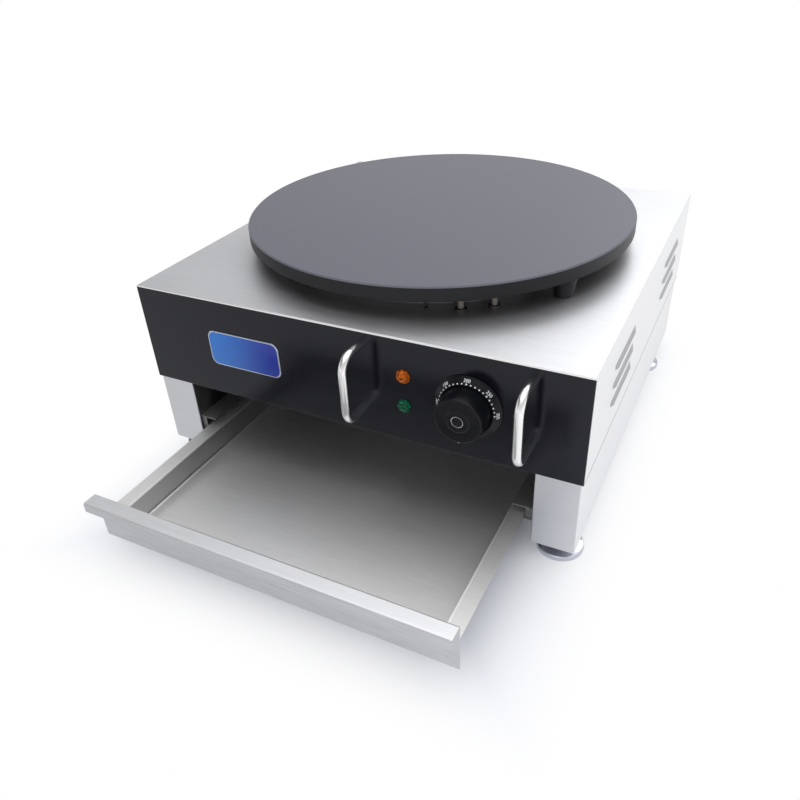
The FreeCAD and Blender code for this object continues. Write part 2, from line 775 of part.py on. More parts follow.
def make_side_panel(label, side):
    """A lower side, folded round the front into a leg, with a flange for the feet."""
    body = new_body(label)
    leg_back = panel_back + d.leg_return
    sheet_in = panel_back + d.chassis_gauge
    fold = [
        (side * wall_out, chassis_back),
        (side * wall_out, panel_back),
        (side * leg_in, panel_back),
        (side * leg_in, leg_back),
        (side * (leg_in + d.chassis_gauge), leg_back),
        (side * (leg_in + d.chassis_gauge), sheet_in),
        (side * wall_in, sheet_in),
        (side * wall_in, chassis_back),
    ]
    add(body, "XY_Plane", leg_bottom, floor_under - leg_bottom, 1, fold)
    wall = oblong(*sorted((side * wall_out, side * wall_in), key=float), panel_back, chassis_back)
    add(body, "XY_Plane", floor_under, chassis_top - floor_under, 1, wall)
    flange = oblong(*sorted((side * leg_in, side * wall_out), key=float), panel_back, chassis_back)
    add(body, "XY_Plane", leg_bottom, d.chassis_gauge, 1, flange)
    dress(
        body,
        "Fillet",
        d.cover_bend,
        lambda edge: edge_at(edge, x=side * wall_out, y=panel_back)
        or edge_at(edge, x=side * leg_in, y=panel_back),
    )
    feet = [(side * foot_across, y, d.stud_radius + d.fit_gap) for y in (front_foot, rear_foot)]
    cut(body, "XY_Plane", leg_bottom, d.chassis_gauge, 1, circles=feet)
    screw = (panel_back + d.runner_screw_back, runner_screw_level, screw_hole)
    inner_face = side * leg_in
    cut(body, "YZ_Plane", inner_face, d.chassis_gauge, side, circles=[screw])
    return body


def make_rear_panel():
    body = new_body("rear_panel")
    foot = leg_bottom + d.chassis_gauge
    fold = [
        (chassis_back, foot),
        (chassis_back, chassis_top),
        (rear_in, chassis_top),
        (rear_in, foot + d.chassis_gauge),
        (chassis_back - d.rear_flange, foot + d.chassis_gauge),
        (chassis_back - d.rear_flange, foot),
    ]
    add(body, "YZ_Plane", -wall_in, 2 * wall_in, 1, fold)
    holes = [(x, cover_screw_level, screw_hole) for x in cover_screw_places()]
    cut(body, "XZ_Plane", rear_in, d.chassis_gauge, 1, circles=holes)
    return body


def make_compartment_floor():
    body = new_body("compartment_floor")
    add(body, "XY_Plane", floor_under, d.floor_gauge, 1, oblong(-wall_in, wall_in, panel_back, rear_in))
    for side in (-1, 1):
        edges = sorted((side * wall_in, side * (wall_in - d.floor_gauge)), key=float)
        add(body, "XY_Plane", floor_top, d.floor_upstand, 1, oblong(*edges, panel_back, rear_in))
    rear = oblong(-wall_in, wall_in, rear_in - d.floor_gauge, rear_in)
    add(body, "XY_Plane", floor_top, d.floor_upstand, 1, rear)
    return body


def make_runner(label, side):
    """A C-section that carries the drawer's rim, with a stop at its front end."""
    body = new_body(label)
    section = [
        (side * leg_in, runner_shelf - d.runner_gauge),
        (side * leg_in, runner_ceiling + d.runner_gauge),
        (side * runner_edge, runner_ceiling + d.runner_gauge),
        (side * runner_edge, runner_ceiling),
        (side * runner_web, runner_ceiling),
        (side * runner_web, runner_shelf),
        (side * runner_edge, runner_shelf),
        (side * runner_edge, runner_shelf - d.runner_gauge),
    ]
    add(body, "XZ_Plane", runner_front, rear_in - runner_front, 1, section)
    across = sorted((side * runner_web, side * (rim_out + d.stop_gap)), key=float)
    stop = oblong(*across, runner_shelf + d.stop_clearance, runner_ceiling)
    add(body, "XZ_Plane", runner_front, d.runner_gauge, 1, stop)
    screw = (panel_back + d.runner_screw_back, runner_screw_level, screw_hole)
    cut(body, "YZ_Plane", side * runner_web, d.runner_gauge, side, circles=[screw])
    return body


def make_runner_screws():
    turns = {1: Rotation(Vector(0, 1, 0), -90), -1: Rotation(Vector(0, 1, 0), 90)}
    across = panel_back + d.runner_screw_back
    group(
        "runner_screws",
        [
            small_screw((side * runner_web, across, runner_screw_level), turns[side])
            for side in (-1, 1)
        ],
    )


def make_griddle_plate():
    body = new_body("griddle_plate")
    radius = plate_radius
    low = d.plate_low_edge
    high = d.plate_top_edge
    turn_profile(
        body,
        [
            (0, plate_under),
            (radius - low, plate_under),
            (radius, plate_under + low),
            (radius, plate_top - high),
            (radius - high, plate_top),
            (0, plate_top),
        ],
    )
    x, y = lug_places()[0]
    lug = body.newObject("PartDesign::AdditiveCone", "Lug")
    bind(lug, "Radius1", d.lug_foot_radius)
    bind(lug, "Radius2", d.lug_root_radius)
    bind(lug, "Height", d.lug_height)
    place(lug, (x, y, cover_top))
    thread = [(x, y, d.plate_screw_radius + d.shaft_play)]
    tapped = cut(body, "XY_Plane", cover_top, d.plate_screw_reach + 2, 1, circles=thread)
    polar(body, [lug, tapped], LUG_COUNT)
    return body


def make_plate_screws():
    screws = [
        pan_screw(
            d.plate_screw_head,
            d.plate_screw_head_height,
            d.plate_screw_radius,
            d.cover_gauge + d.plate_screw_reach,
            (x, y, cover_under),
            Rotation(Vector(1, 0, 0), 180),
        )
        for x, y in lug_places()
    ]
    group("plate_screws", screws)


def make_heating_element():
    """One tube bent into two rings, with both cold ends side by side."""
    outer, inner = float(element_outer), float(element_inner)
    bend = float(d.element_bend)
    level = float(element_level)
    half = float(d.element_end_spacing) / 2
    end_circle = float(element_end_circle)
    half_gap = float(d.element_turn_gap) / 2
    low = float(cover_top - d.element_end_length)
    u_turn = (outer - inner) / 2
    middle = (outer + inner) / 2
    back_angle = math.pi / 2 + math.asin((u_turn + half_gap) / middle)

    def flat(x, y):
        return Vector(x, y, level)

    def ring(radius, angle):
        return flat(radius * math.cos(angle), radius * math.sin(angle))

    def left_half():
        centre_x = -half - bend
        centre_y = -math.sqrt((outer + bend) ** 2 - centre_x**2)
        centre = Vector(centre_x, centre_y, level)
        join = centre * (outer / (outer + bend))
        join.z = level
        joined_at = math.atan2(join.y, join.x)
        heading = (join - centre).normalize() + Vector(1, 0, 0)
        via = centre + heading.normalize() * bend
        start = Vector(-half, -end_circle, low)
        riser_top = Vector(-half, -end_circle, level - bend)
        turned_in = Vector(-half, -end_circle + bend, level)
        elbow_centre = Vector(-half, -end_circle + bend, level - bend)
        diagonal = Vector(0, -1, 1).normalize()
        along_outer = (joined_at + 2 * math.pi + back_angle) / 2
        turn_centre = ring(middle, back_angle)
        beyond = Vector(-math.sin(back_angle), math.cos(back_angle), 0)
        return [
            Part.LineSegment(start, riser_top),
            Part.Arc(riser_top, elbow_centre + diagonal * bend, turned_in),
            Part.LineSegment(turned_in, flat(-half, centre_y)),
            Part.Arc(flat(-half, centre_y), via, join),
            Part.Arc(join, ring(outer, along_outer), ring(outer, back_angle)),
            Part.Arc(
                ring(outer, back_angle), turn_centre - beyond * u_turn, ring(inner, back_angle)
            ),
            Part.Arc(
                ring(inner, back_angle),
                ring(inner, (back_angle + 3 * math.pi / 2) / 2),
                ring(inner, 3 * math.pi / 2),
            ),
        ]

    half_edges = [segment.toShape() for segment in left_half()]
    mirror = [edge.mirror(Vector(0, 0, 0), Vector(1, 0, 0)) for edge in half_edges]
    wire = Part.Wire(Part.__sortEdges__(half_edges + mirror))
    element = from_shape("heating_element", tube(wire, d.element_radius))
    place(element, (0, 0, 0), Rotation(Vector(0, 0, 1), float(d.element_angle)))


def make_ferrules():
    sleeve_bottom = cover_top - d.ferrule_sleeve_length
    bore = d.element_radius + d.fit_gap / 3
    ferrules = []
    for x, y in element_ends():
        sleeve = rod(d.ferrule_sleeve, d.ferrule_sleeve_length, (x, y, sleeve_bottom))
        collar = rod(d.ferrule_collar, d.ferrule_collar_height, (x, y, cover_top))
        length = d.ferrule_sleeve_length + d.ferrule_collar_height
        ferrules.append(without(fused(sleeve, collar), rod(bore, length, (x, y, sleeve_bottom))))
    group("element_ferrules", ferrules)


def clamp_stud_places():
    middle = (element_outer + element_inner) / 2
    step = 360 / STUD_COUNT
    first = float(d.lug_angle) + step / 2
    return [on_circle(middle, first + step * n) for n in range(STUD_COUNT)]


def make_element_clamp():
    body = new_body("element_clamp")
    rings = [(0, 0, clamp_radius), (0, 0, element_inner - d.clamp_reach)]
    add(body, "XY_Plane", clamp_under, d.clamp_gauge, 1, circles=rings)
    holes = [(x, y, d.clamp_stud_radius + d.fit_gap) for x, y in clamp_stud_places()]
    cut(body, "XY_Plane", clamp_under, d.clamp_gauge, 1, circles=holes)
    return body


def make_clamp_studs():
    low = clamp_nut_under
    length = plate_under - low
    studs = [rod(d.clamp_stud_radius, length, (x, y, low)) for x, y in clamp_stud_places()]
    group("clamp_studs", studs)
    bore = d.clamp_stud_radius + d.shaft_play
    nuts = [
        nut(d.clamp_nut_radius, d.clamp_nut_height, bore, (x, y, low))
        for x, y in clamp_stud_places()
    ]
    group("clamp_nuts", nuts)


def make_heat_shield():
    inside = shield_radius - d.shield_gauge
    floor = cover_top + d.shield_gauge
    rim = clamp_under - d.shield_gap
    turned(
        "heat_shield",
        [
            (0, cover_top),
            (shield_radius, cover_top),
            (shield_radius, rim),
            (inside, rim),
            (inside, floor),
            (0, floor),
        ],
    )
    body = new_body("insulation_disc")
    rings = [(0, 0, shield_radius - d.insulation_inset), (0, 0, d.insulation_bore)]
    thickness = clamp_nut_under - d.insulation_gap - floor
    add(body, "XY_Plane", floor, thickness, 1, circles=rings)


def make_handle(label, across):
    """A round bar bent into two legs, drilled for the screws behind the panel."""
    half = d.bar_spacing / 2
    out = d.bar_standoff
    bend = d.bar_bend
    leg_length = out - bend
    parts = [rod(d.bar_radius, leg_length, (0, side * half, 0)) for side in (-1, 1)]
    straight = d.bar_spacing - 2 * bend
    upright = Rotation(Vector(1, 0, 0), -90)
    parts.append(rod(d.bar_radius, straight, (0, bend - half, out), upright))
    upper = Rotation(Vector(0, 1, 0), Vector(0, 0, 1), Vector(1, 0, 0))
    lower = Rotation(Vector(0, 0, 1), Vector(0, -1, 0), Vector(1, 0, 0))
    for turn, side in ((upper, 1), (lower, -1)):
        elbow = doc.addObject("Part::Torus", "Elbow")
        bind(elbow, "Radius1", bend)
        bind(elbow, "Radius2", d.bar_radius)
        elbow.Angle1 = -180
        elbow.Angle2 = 180
        elbow.Angle3 = 90
        parts.append(place(elbow, (0, side * (half - bend), leg_length), turn))
    depth = d.handle_screw_reach + d.fit_gap
    bores = [rod(d.handle_screw_radius, depth, (0, side * half, 0)) for side in (-1, 1)]
    handle = without(fused(*parts), fused(*bores))
    keep(place(handle, (across, front, handle_level), FACING_OUT), label)


def make_handle_screws():
    screws = [
        pan_screw(
            d.handle_screw_head,
            d.handle_screw_head_height,
            d.handle_screw_radius,
            d.panel_gauge + d.handle_screw_reach,
            (x, panel_back, z),
            FACING_IN,
        )
        for x, z in handle_legs()
    ]
    group("handle_screws", screws)


def make_badge_plate():
    body = new_body("badge_plate")
    half_across = d.badge_width / 2
    half_up = d.badge_height / 2
    add(body, "XY_Plane", 0, d.badge_thickness, 1, oblong(-half_across, half_across, -half_up, half_up))
    dress(
        body,
        "Fillet",
        d.badge_corner,
        lambda edge: any(
            edge_at(edge, x=i * half_across, y=j * half_up) for i in (-1, 1) for j in (-1, 1)
        ),
    )
    dress(body, "Chamfer", d.badge_thickness / 3, lambda edge: edge_at(edge, z=d.badge_thickness))
    place(body, (d.badge_across, front, control_level), FACING_OUT)


def facet_ring(radius, phase):
    angles = [2 * math.pi * (n + phase) / LENS_FACET_COUNT for n in range(LENS_FACET_COUNT)]
    return [(math.cos(angle) * radius, math.sin(angle) * radius) for angle in angles]


def make_lens(label, level):
    body = new_body(label)
    add(body, "XY_Plane", 0, d.lens_flange, 1, circles=[(0, 0, d.lens_radius)])
    rings = facet_ring(d.lens_facet_radius, 0.5), facet_ring(d.lens_table_radius, 0.5)
    loft(body, "AdditiveLoft", "XY_Plane", (d.lens_flange, d.lens_height), rings)
    place(body, (d.lamp_across, front, level), FACING_OUT)


def make_lamp_bodies():
    """The lamps behind the lenses: a barrel through the panel and a flange behind it."""
    lamps = []
    for level in lamp_levels():
        flange_bottom = -d.panel_gauge - d.lamp_nut_height
        parts = fused(
            rod(d.lamp_radius, d.panel_gauge + d.lamp_length, (0, 0, -d.panel_gauge - d.lamp_length)),
            rod(d.lamp_nut, d.lamp_nut_height, (0, 0, flange_bottom)),
        )
        lamps.append(place(parts, (d.lamp_across, front, level), FACING_OUT))
    group("lamp_bodies", lamps)


def make_dial_bezel():
    body = new_body("dial_bezel")
    hole = d.neck_radius + d.fit_gap
    turn_profile(
        body,
        [
            (hole, 0),
            (d.dial_radius, 0),
            (d.dial_radius, d.dial_edge),
            (dial_inner + d.dial_crest, d.dial_height),
            (dial_inner, d.dial_height),
            (dial_inner, d.dial_floor),
            (hole, d.dial_floor),
        ],
    )
    half = d.can_screw_spacing / 2
    screws = [(side * half, 0, screw_hole) for side in (-1, 1)]
    cut(body, "XY_Plane", 0, d.dial_floor, 1, circles=screws)
    place(body, (d.knob_across, front, control_level), FACING_OUT)


def make_knob():
    body = new_body("knob")
    bore = d.shaft_radius + d.shaft_play
    seat = d.knob_face + d.knob_ring_rise - d.knob_cap_seat - d.knob_cap_thickness
    recess = d.knob_cap_radius + d.shaft_play
    turn_profile(
        body,
        [
            (bore, knob_foot),
            (d.knob_foot_radius, knob_foot),
            (d.knob_face_radius, d.knob_face),
            (d.knob_ring + d.knob_ring_rise, d.knob_face),
            (d.knob_ring, d.knob_face + d.knob_ring_rise),
            (recess, d.knob_face + d.knob_ring_rise),
            (recess, seat),
            (0, seat),
            (0, d.shaft_reach + d.shaft_play),
            (bore, d.shaft_reach + d.shaft_play),
        ],
    )
    dress(
        body, "Fillet", d.knob_edge, lambda edge: circle_at(edge, d.knob_face_radius, d.knob_face)
    )
    half = d.pointer_width / 2
    deep = d.knob_face_radius - d.pointer_depth
    slot = oblong(-half, half, -d.knob_foot_radius - 1, -deep)
    cut(body, "XY_Plane", knob_foot, pointer_length() + 1, 1, slot)
    place(body, (d.knob_across, front, control_level), FACING_OUT)
    cap = turned(
        "knob_cap",
        [
            (0, seat),
            (d.knob_cap_radius, seat),
            (d.knob_cap_radius, seat + d.knob_cap_thickness),
            (0, seat + d.knob_cap_thickness),
        ],
    )
    place(cap, (d.knob_across, front, control_level), FACING_OUT)
    pointer = new_body("knob_pointer")
    thin = half - d.shaft_play
    strip = oblong(-thin, thin, -d.knob_foot_radius, -deep)
    add(pointer, "XY_Plane", knob_foot, pointer_length(), 1, strip)
    place(pointer, (d.knob_across, front, control_level), FACING_OUT)


def pointer_length():
    return d.knob_face - knob_foot - d.knob_edge - d.pointer_width


def make_thermostat():
    body = new_body("thermostat")
    panel = -d.panel_gauge
    plate_bottom = panel - d.can_plate
    half = d.can_plate_width / 2
    tall = d.can_height / 2
    wide = d.can_width / 2
    add(body, "XY_Plane", plate_bottom, d.can_plate, 1, oblong(-half, half, -wide / 2, wide / 2))
    add(body, "XY_Plane", plate_bottom, d.can_depth, -1, oblong(-wide, wide, -tall, tall))
    add(body, "XY_Plane", panel, d.panel_gauge, 1, circles=[(0, 0, d.neck_radius)])
    bore = [(0, 0, d.shaft_radius + d.shaft_play)]
    cut(body, "XY_Plane", 0, d.shaft_inside + d.fit_gap, -1, circles=bore)
    spacing = d.can_screw_spacing / 2
    screws = [(side * spacing, 0, d.small_screw_radius) for side in (-1, 1)]
    cut(body, "XY_Plane", panel, d.small_screw_length, -1, circles=screws)
    place(body, (d.knob_across, front, control_level), FACING_OUT)
    shaft = new_body("thermostat_shaft")
    length = d.shaft_reach + d.shaft_inside
    circle = [(0, 0, d.shaft_radius)]
    add(shaft, "XY_Plane", -d.shaft_inside, length, 1, circles=circle)
    place(shaft, (d.knob_across, front, control_level), FACING_OUT)
    group(
        "thermostat_screws",
        [
            small_screw((x, front - d.dial_floor, control_level), FACING_OUT)
            for x in dial_screw_places()
        ],
    )


def make_capillary_sensor():
    """The bulb under the plate, and the capillary that leads from it to the thermostat."""
    level = plate_under - d.element_gap - d.bulb_radius
    half = d.bulb_length / 2
    across, along = capillary_way_down()
    run = cover_top - d.capillary_level
    entry = panel_back + d.capillary_inside
    can_top = control_level + d.can_height / 2
    path = rounded_wire(
        [
            (half, along, level),
            (across, along, level),
            (across, along, run),
            (d.knob_across, along, run),
            (d.knob_across, entry, run),
            (d.knob_across, entry, can_top),
        ],
        d.capillary_bend,
    )
    start = Vector(-float(half), float(along), float(level))
    bulb = Part.makeCylinder(float(d.bulb_radius), float(d.bulb_length), start, Vector(1, 0, 0))
    from_shape("capillary_sensor", bulb.fuse(tube(path, d.capillary_radius)))


def make_safety_cutout():
    place_x, place_y = d.cutout_across, -d.cutout_forward
    can_bottom = cover_under - d.cutout_height
    can = rod(d.cutout_radius, d.cutout_height, (place_x, place_y, can_bottom))
    half = d.cutout_radius * 0.6
    flange = block(
        (place_x - d.cutout_flange, place_x + d.cutout_flange),
        (place_y - half, place_y + half),
        (cover_under - d.clamp_gauge, cover_under),
    )
    keep(fused(can, flange), "safety_cutout")


def make_terminal_block():
    body = new_body("terminal_block")
    x, y = d.block_across, -d.block_forward
    half_long, half_wide = d.block_length / 2, d.block_width / 2
    outline = oblong(x - half_long, x + half_long, y - half_wide, y + half_wide)
    add(body, "XY_Plane", floor_top, d.block_height, 1, outline)
    wells = [(well, y - half_wide / 2, d.block_well) for well in block_wells()]
    cut(body, "XY_Plane", floor_top + d.block_height, d.block_height / 2, -1, circles=wells)


def block_wells():
    middle = (WELL_COUNT - 1) / 2
    return [d.block_across + (n - middle) * d.block_pitch for n in range(WELL_COUNT)]


def make_earth_stud():
    at = (d.earth_across, -d.block_forward, floor_top)
    height = d.block_height
    stud = place(rod(d.clamp_stud_radius - d.shaft_play, height), at)
    washer_nut = nut(d.clamp_nut_radius, d.clamp_nut_height, d.clamp_stud_radius, at)
    group("earth_stud", [stud, washer_nut])


def make_wiring():
    """Wires from the terminal block to the heating tube, thermostat, lamps and cord gland."""
    block_top = floor_top + d.block_height
    back_row = -d.block_forward + d.block_width / 4
    wells = block_wells()
    ends = element_ends()
    end_level = cover_top - d.element_end_length
    high = block_top + d.wire_rise
    low = high - d.wire_drop
    last_well = wells[-1] + d.block_pitch / 3
    lamp_back = panel_back + d.lamp_length
    can_back = panel_back + d.can_plate + d.can_depth
    routes = [
        [
            (ends[0][0], ends[0][1], end_level),
            (ends[0][0], ends[0][1], high),
            (wells[-1], back_row, high),
            (wells[-1], back_row, block_top),
        ],
        [
            (ends[1][0], ends[1][1], end_level),
            (ends[1][0], ends[1][1], low),
            (last_well, back_row, low),
            (last_well, back_row, block_top),
        ],
        [
            (d.knob_across + d.can_width / 4, can_back, control_level),
            (d.knob_across + d.can_width / 4, back_row + d.wire_lead, control_level),
            (wells[3], back_row + d.wire_lead, control_level),
            (wells[3], back_row, control_level),
            (wells[3], back_row, block_top),
        ],
        [
            (d.lamp_across, lamp_back, lamp_levels()[1]),
            (d.lamp_across, back_row - d.wire_lead, lamp_levels()[1]),
            (wells[2], back_row, lamp_levels()[1]),
            (wells[2], back_row, block_top),
        ],
        [
            (d.gland_across, chassis_back - d.gland_inside, gland_level),
            (d.gland_across, 0, gland_level),
            (wells[0], back_row, gland_level),
            (wells[0], back_row, block_top),
        ],
    ]
    wires = [tube(rounded_wire(route, d.wire_bend), d.wire_radius) for route in routes]
    from_shape("wiring_loom", Part.makeCompound(wires))


def make_gland():
    at = (d.gland_across, back, gland_level)
    reach = d.gland_reach
    inside = d.cover_gauge + d.gland_inside
    thread = rod(d.gland_thread, inside, (0, 0, -inside))
    collar = hexagon(d.gland_hex, d.gland_hex_height)
    dome = doc.addObject("Part::Cone", "Dome")
    bind(dome, "Radius1", d.gland_dome)
    bind(dome, "Radius2", d.gland_dome * 0.7)
    bind(dome, "Height", reach - d.gland_hex_height)
    place(dome, (0, 0, d.gland_hex_height))
    bore = rod(d.gland_bore, inside + reach, (0, 0, -inside))
    gland = without(fused(thread, collar, dome), bore)
    keep(place(gland, at, FACING_IN), "cable_gland")
    nut_at = (d.gland_across, chassis_back - d.gland_nut_height, gland_level)
    bore_radius = d.gland_thread + d.shaft_play
    inner_nut = nut(d.gland_hex, d.gland_nut_height, bore_radius, nut_at, FACING_IN)
    keep(inner_nut, "gland_nut")


def make_cover_screws():
    screws = [small_screw((x, back, cover_screw_level), FACING_IN) for x in cover_screw_places()]
    group("cover_screws", screws)


def make_drawer():
    tray = new_body("drawer_tray")
    walls = oblong(-tray_out, tray_out, tray_front, tray_back)
    add(tray, "XY_Plane", tray_bottom, rim_top - tray_bottom, 1, walls)
    inside = oblong(-tray_in, tray_in, tray_front + d.tray_gauge, tray_back - d.tray_gauge)
    tray_floor = tray_bottom + d.tray_gauge
    cut(tray, "XY_Plane", rim_top, rim_top - tray_floor, -1, inside)
    dress(
        tray,
        "Fillet",
        d.tray_corner,
        lambda edge: any(edge_at(edge, x=side * tray_in, z=tray_floor) for side in (-1, 1)),
    )
    dress(
        tray,
        "Fillet",
        d.tray_corner + d.tray_gauge,
        lambda edge: any(edge_at(edge, x=side * tray_out, z=tray_bottom) for side in (-1, 1)),
    )
    rims = [
        (-rim_out, -tray_out, tray_front, tray_back + d.tray_rear_rim),
        (tray_out, rim_out, tray_front, tray_back + d.tray_rear_rim),
        (-tray_out, tray_out, tray_back, tray_back + d.tray_rear_rim),
    ]
    ear_front = runner_front + d.runner_gauge + d.drawer_travel + d.fit_gap
    for side in (-1, 1):
        reach = sorted((side * rim_out, side * (runner_web - d.ear_gap)), key=float)
        rims.append((*reach, ear_front, ear_front + d.ear_length))
    for rim in rims:
        add(tray, "XY_Plane", rim_under, d.tray_gauge, 1, oblong(*rim))
    place(tray, (0, -d.drawer_open, 0))

    panel = new_body("drawer_front")
    sheet_back = tray_front
    lip_front = panel_back - d.lip_depth
    gauge = d.front_gauge
    fold = [
        (sheet_back, tray_bottom),
        (sheet_back, lip_top),
        (lip_front, lip_top),
        (lip_front, lip_top - d.lip_drop),
        (lip_front + gauge, lip_top - d.lip_drop),
        (lip_front + gauge, lip_top - gauge),
        (panel_back, lip_top - gauge),
        (panel_back, tray_bottom),
    ]
    add(panel, "YZ_Plane", -front_half_width, 2 * front_half_width, 1, fold)
    dress(
        panel,
        "Fillet",
        d.lip_bend,
        lambda edge: any(edge_at(edge, y=y, z=lip_top) for y in (sheet_back, lip_front)),
    )
    dress(
        panel,
        "Fillet",
        d.lip_bend - gauge,
        lambda edge: any(
            edge_at(edge, y=y, z=lip_top - gauge) for y in (panel_back, lip_front + gauge)
        ),
    )
    place(panel, (0, -d.drawer_open, 0))


def make_foot(name, across, along):
    """A levelling foot, screwed right in: a pad and its stud."""
    radius = d.foot_radius
    bore = d.stud_radius + d.fit_gap / 10
    collar_top = leg_bottom - d.lock_nut_height - d.foot_collar_gap
    pad = turned(
        f"{name}_foot_pad",
        [
            (0, 0),
            (radius, 0),
            (radius, d.foot_wall + d.foot_shoulder),
            (radius - d.foot_shoulder, d.foot_wall + d.foot_shoulder),
            (d.foot_collar, d.foot_dome),
            (d.foot_collar, collar_top),
            (bore, collar_top),
            (bore, d.stud_seat),
            (0, d.stud_seat),
        ],
    )
    shoulder = d.foot_wall + d.foot_shoulder
    dress(pad, "Fillet", d.foot_shoulder * 0.9, lambda edge: circle_at(edge, radius, shoulder))
    place(pad, (across, along, 0))
    length = leg_bottom + d.stud_rise - d.stud_seat
    stud = rod(d.stud_radius, length, (across, along, d.stud_seat))
    keep(stud, f"{name}_foot_stud")


def make_feet():
    bore = d.stud_radius + d.stud_play
    weld_nuts = []
    lock_nuts = []
    for side_name, side in (("left", -1), ("right", 1)):
        for end_name, along in (("front", front_foot), ("rear", rear_foot)):
            across = side * foot_across
            make_foot(f"{end_name}_{side_name}", across, along)
            above = (across, along, leg_bottom + d.chassis_gauge)
            below = (across, along, leg_bottom - d.lock_nut_height)
            weld_nuts.append(nut(d.lock_nut_radius, d.weld_nut_height, bore, above))
            lock_nuts.append(nut(d.lock_nut_radius, d.lock_nut_height, bore, below))
    group("foot_weld_nuts", weld_nuts)
    group("foot_lock_nuts", lock_nuts)


def make_everything():
    make_top_cover()
    make_front_panel()
    make_side_panel("left_side_panel", -1)
    make_side_panel("right_side_panel", 1)
    make_rear_panel()
    make_compartment_floor()
    make_runner("left_runner", -1)
    make_runner("right_runner", 1)
    make_runner_screws()
    make_griddle_plate()
    make_plate_screws()
    make_heating_element()
    make_ferrules()
    make_element_clamp()
    make_clamp_studs()
    make_heat_shield()
    make_handle("left_handle", d.left_handle_across)
    make_handle("right_handle", d.right_handle_across)
    make_handle_screws()
    make_badge_plate()
    make_lens("amber_lamp_lens", lamp_levels()[0])
    make_lens("green_lamp_lens", lamp_levels()[1])
    make_lamp_bodies()
    make_dial_bezel()
    make_knob()
    make_thermostat()
    make_capillary_sensor()
    make_safety_cutout()
    make_terminal_block()
    make_earth_stud()
    make_wiring()
    make_gland()
    make_cover_screws()
    make_drawer()
    make_feet()


def check_everything():
    doc.recompute()
    failed = [item.Name for item in doc.Objects if {"Invalid", "Error"} & set(item.State)]
    if failed:
        raise RuntimeError(f"failed objects: {failed}")
    for item in doc.Objects:
        if item.TypeId in ("PartDesign::Pocket", "PartDesign::SubtractiveLoft"):
            if item.Shape.Volume > item.BaseFeature.Shape.Volume - 1e-6:
                raise RuntimeError(f"{item.Name} in {item.getParent().Label} cuts nothing")
    for label, item in pieces.items():
        if item.Shape.isNull() or not item.Shape.isValid() or not item.Shape.Solids:
            raise RuntimeError(f"{label} isn't a valid solid")


def write_everything():
    os.makedirs(EXPORT_FOLDER, exist_ok=True)
    for label, item in pieces.items():
        item.Shape.exportStep(os.path.join(EXPORT_FOLDER, f"{label}.step"))
    print(f"{len(pieces)} pieces written")


make_everything()
check_everything()
write_everything()
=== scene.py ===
import math

import bmesh
import bpy
from bpy.props import FloatProperty, FloatVectorProperty, IntProperty, PointerProperty
from bpy.types import Operator, Panel, PropertyGroup
from mathutils import Matrix, Vector


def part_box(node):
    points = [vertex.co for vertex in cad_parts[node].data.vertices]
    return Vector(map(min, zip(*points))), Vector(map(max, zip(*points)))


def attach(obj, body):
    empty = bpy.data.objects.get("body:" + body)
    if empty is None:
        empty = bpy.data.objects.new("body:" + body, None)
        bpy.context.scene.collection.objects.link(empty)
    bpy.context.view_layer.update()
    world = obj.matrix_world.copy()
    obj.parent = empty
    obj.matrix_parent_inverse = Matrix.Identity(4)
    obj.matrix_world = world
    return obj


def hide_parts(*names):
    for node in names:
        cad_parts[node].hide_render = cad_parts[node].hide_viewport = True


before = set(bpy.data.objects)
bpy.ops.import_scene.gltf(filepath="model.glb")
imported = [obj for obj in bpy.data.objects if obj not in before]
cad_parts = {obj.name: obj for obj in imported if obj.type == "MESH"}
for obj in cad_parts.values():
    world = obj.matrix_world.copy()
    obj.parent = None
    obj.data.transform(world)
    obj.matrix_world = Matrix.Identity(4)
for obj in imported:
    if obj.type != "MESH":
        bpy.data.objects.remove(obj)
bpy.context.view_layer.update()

bl_info = {
    "name": "Electric crepe maker",
    "version": (1, 0, 0),
    "blender": (4, 5, 0),
    "location": "3D View > Sidebar > Crepe maker",
    "description": "Dresses the packed crepe maker: finishes, dial marks, knob, lamps and handles",
    "category": "Object",
}

MM = 0.001

# Directions on the control panel, as seen from the front
RIGHT = Vector((1, 0, 0))
UP = Vector((0, 0, 1))
OUT = Vector((0, -1, 0))

# From the tip of the tray's stop ears to the bend along its rim
EAR_TO_BEND = 18.8 * MM

# The knob's raised ring, tapered side and cap seat, and the radius inside which no rib lies
RING_RISE = 0.8 * MM
RING_OUTER = 10.9 * MM
RING_INNER = 8.6 * MM
KNOB_TAPER = 2.0 * MM
CAP_SEAT = 1.0 * MM
CAP_SEAT_RADIUS = 5.5 * MM
PLAIN_RADIUS = 15 * MM

# How far the dial's marks stand off the bezel
MARK_LIFT = 0.03 * MM

# A lens: its flange's outline and its rings of facets, as shares of its radius and height
LENS_FLANGE = ((0, 0), (1, 0), (1, 0.20), (0.955, 0.27), (0.90, 0.27))
LENS_RINGS = ((0.90, 0.27), (0.76, 0.62), (0.48, 0.88), (0.16, 1.0))

# Lights: place, width and depth, and the point that they aim at
CEILING_LIGHT = (Vector((0.10, 0.10, 2.0)), 3.0, 2.8)
BACK_LIGHT = (Vector((0.40, 1.35, 1.30)), 1.3, 0.9)
LIGHT_AIM = Vector((0, -0.05, 0.12))

# The oblong of floor that shows the shadow, and where it fades round its edge
SHADOW_HALF_WIDTH = 0.20
SHADOW_HALF_DEPTH = 0.29
SHADOW_FORWARD = 0.07
SHADOW_FADE = (-0.05, 0.07)

# The room that polished metal mirrors: bright floor at the right, dark left wall, ceiling
FLOOR_RIGHT = 1.1
FLOOR_TURN = (-0.1, 0.5)
LEFT_WALL = (-0.62, -0.40)
LEFT_WALL_SHARE = 0.3
CEILING_START = 0.55

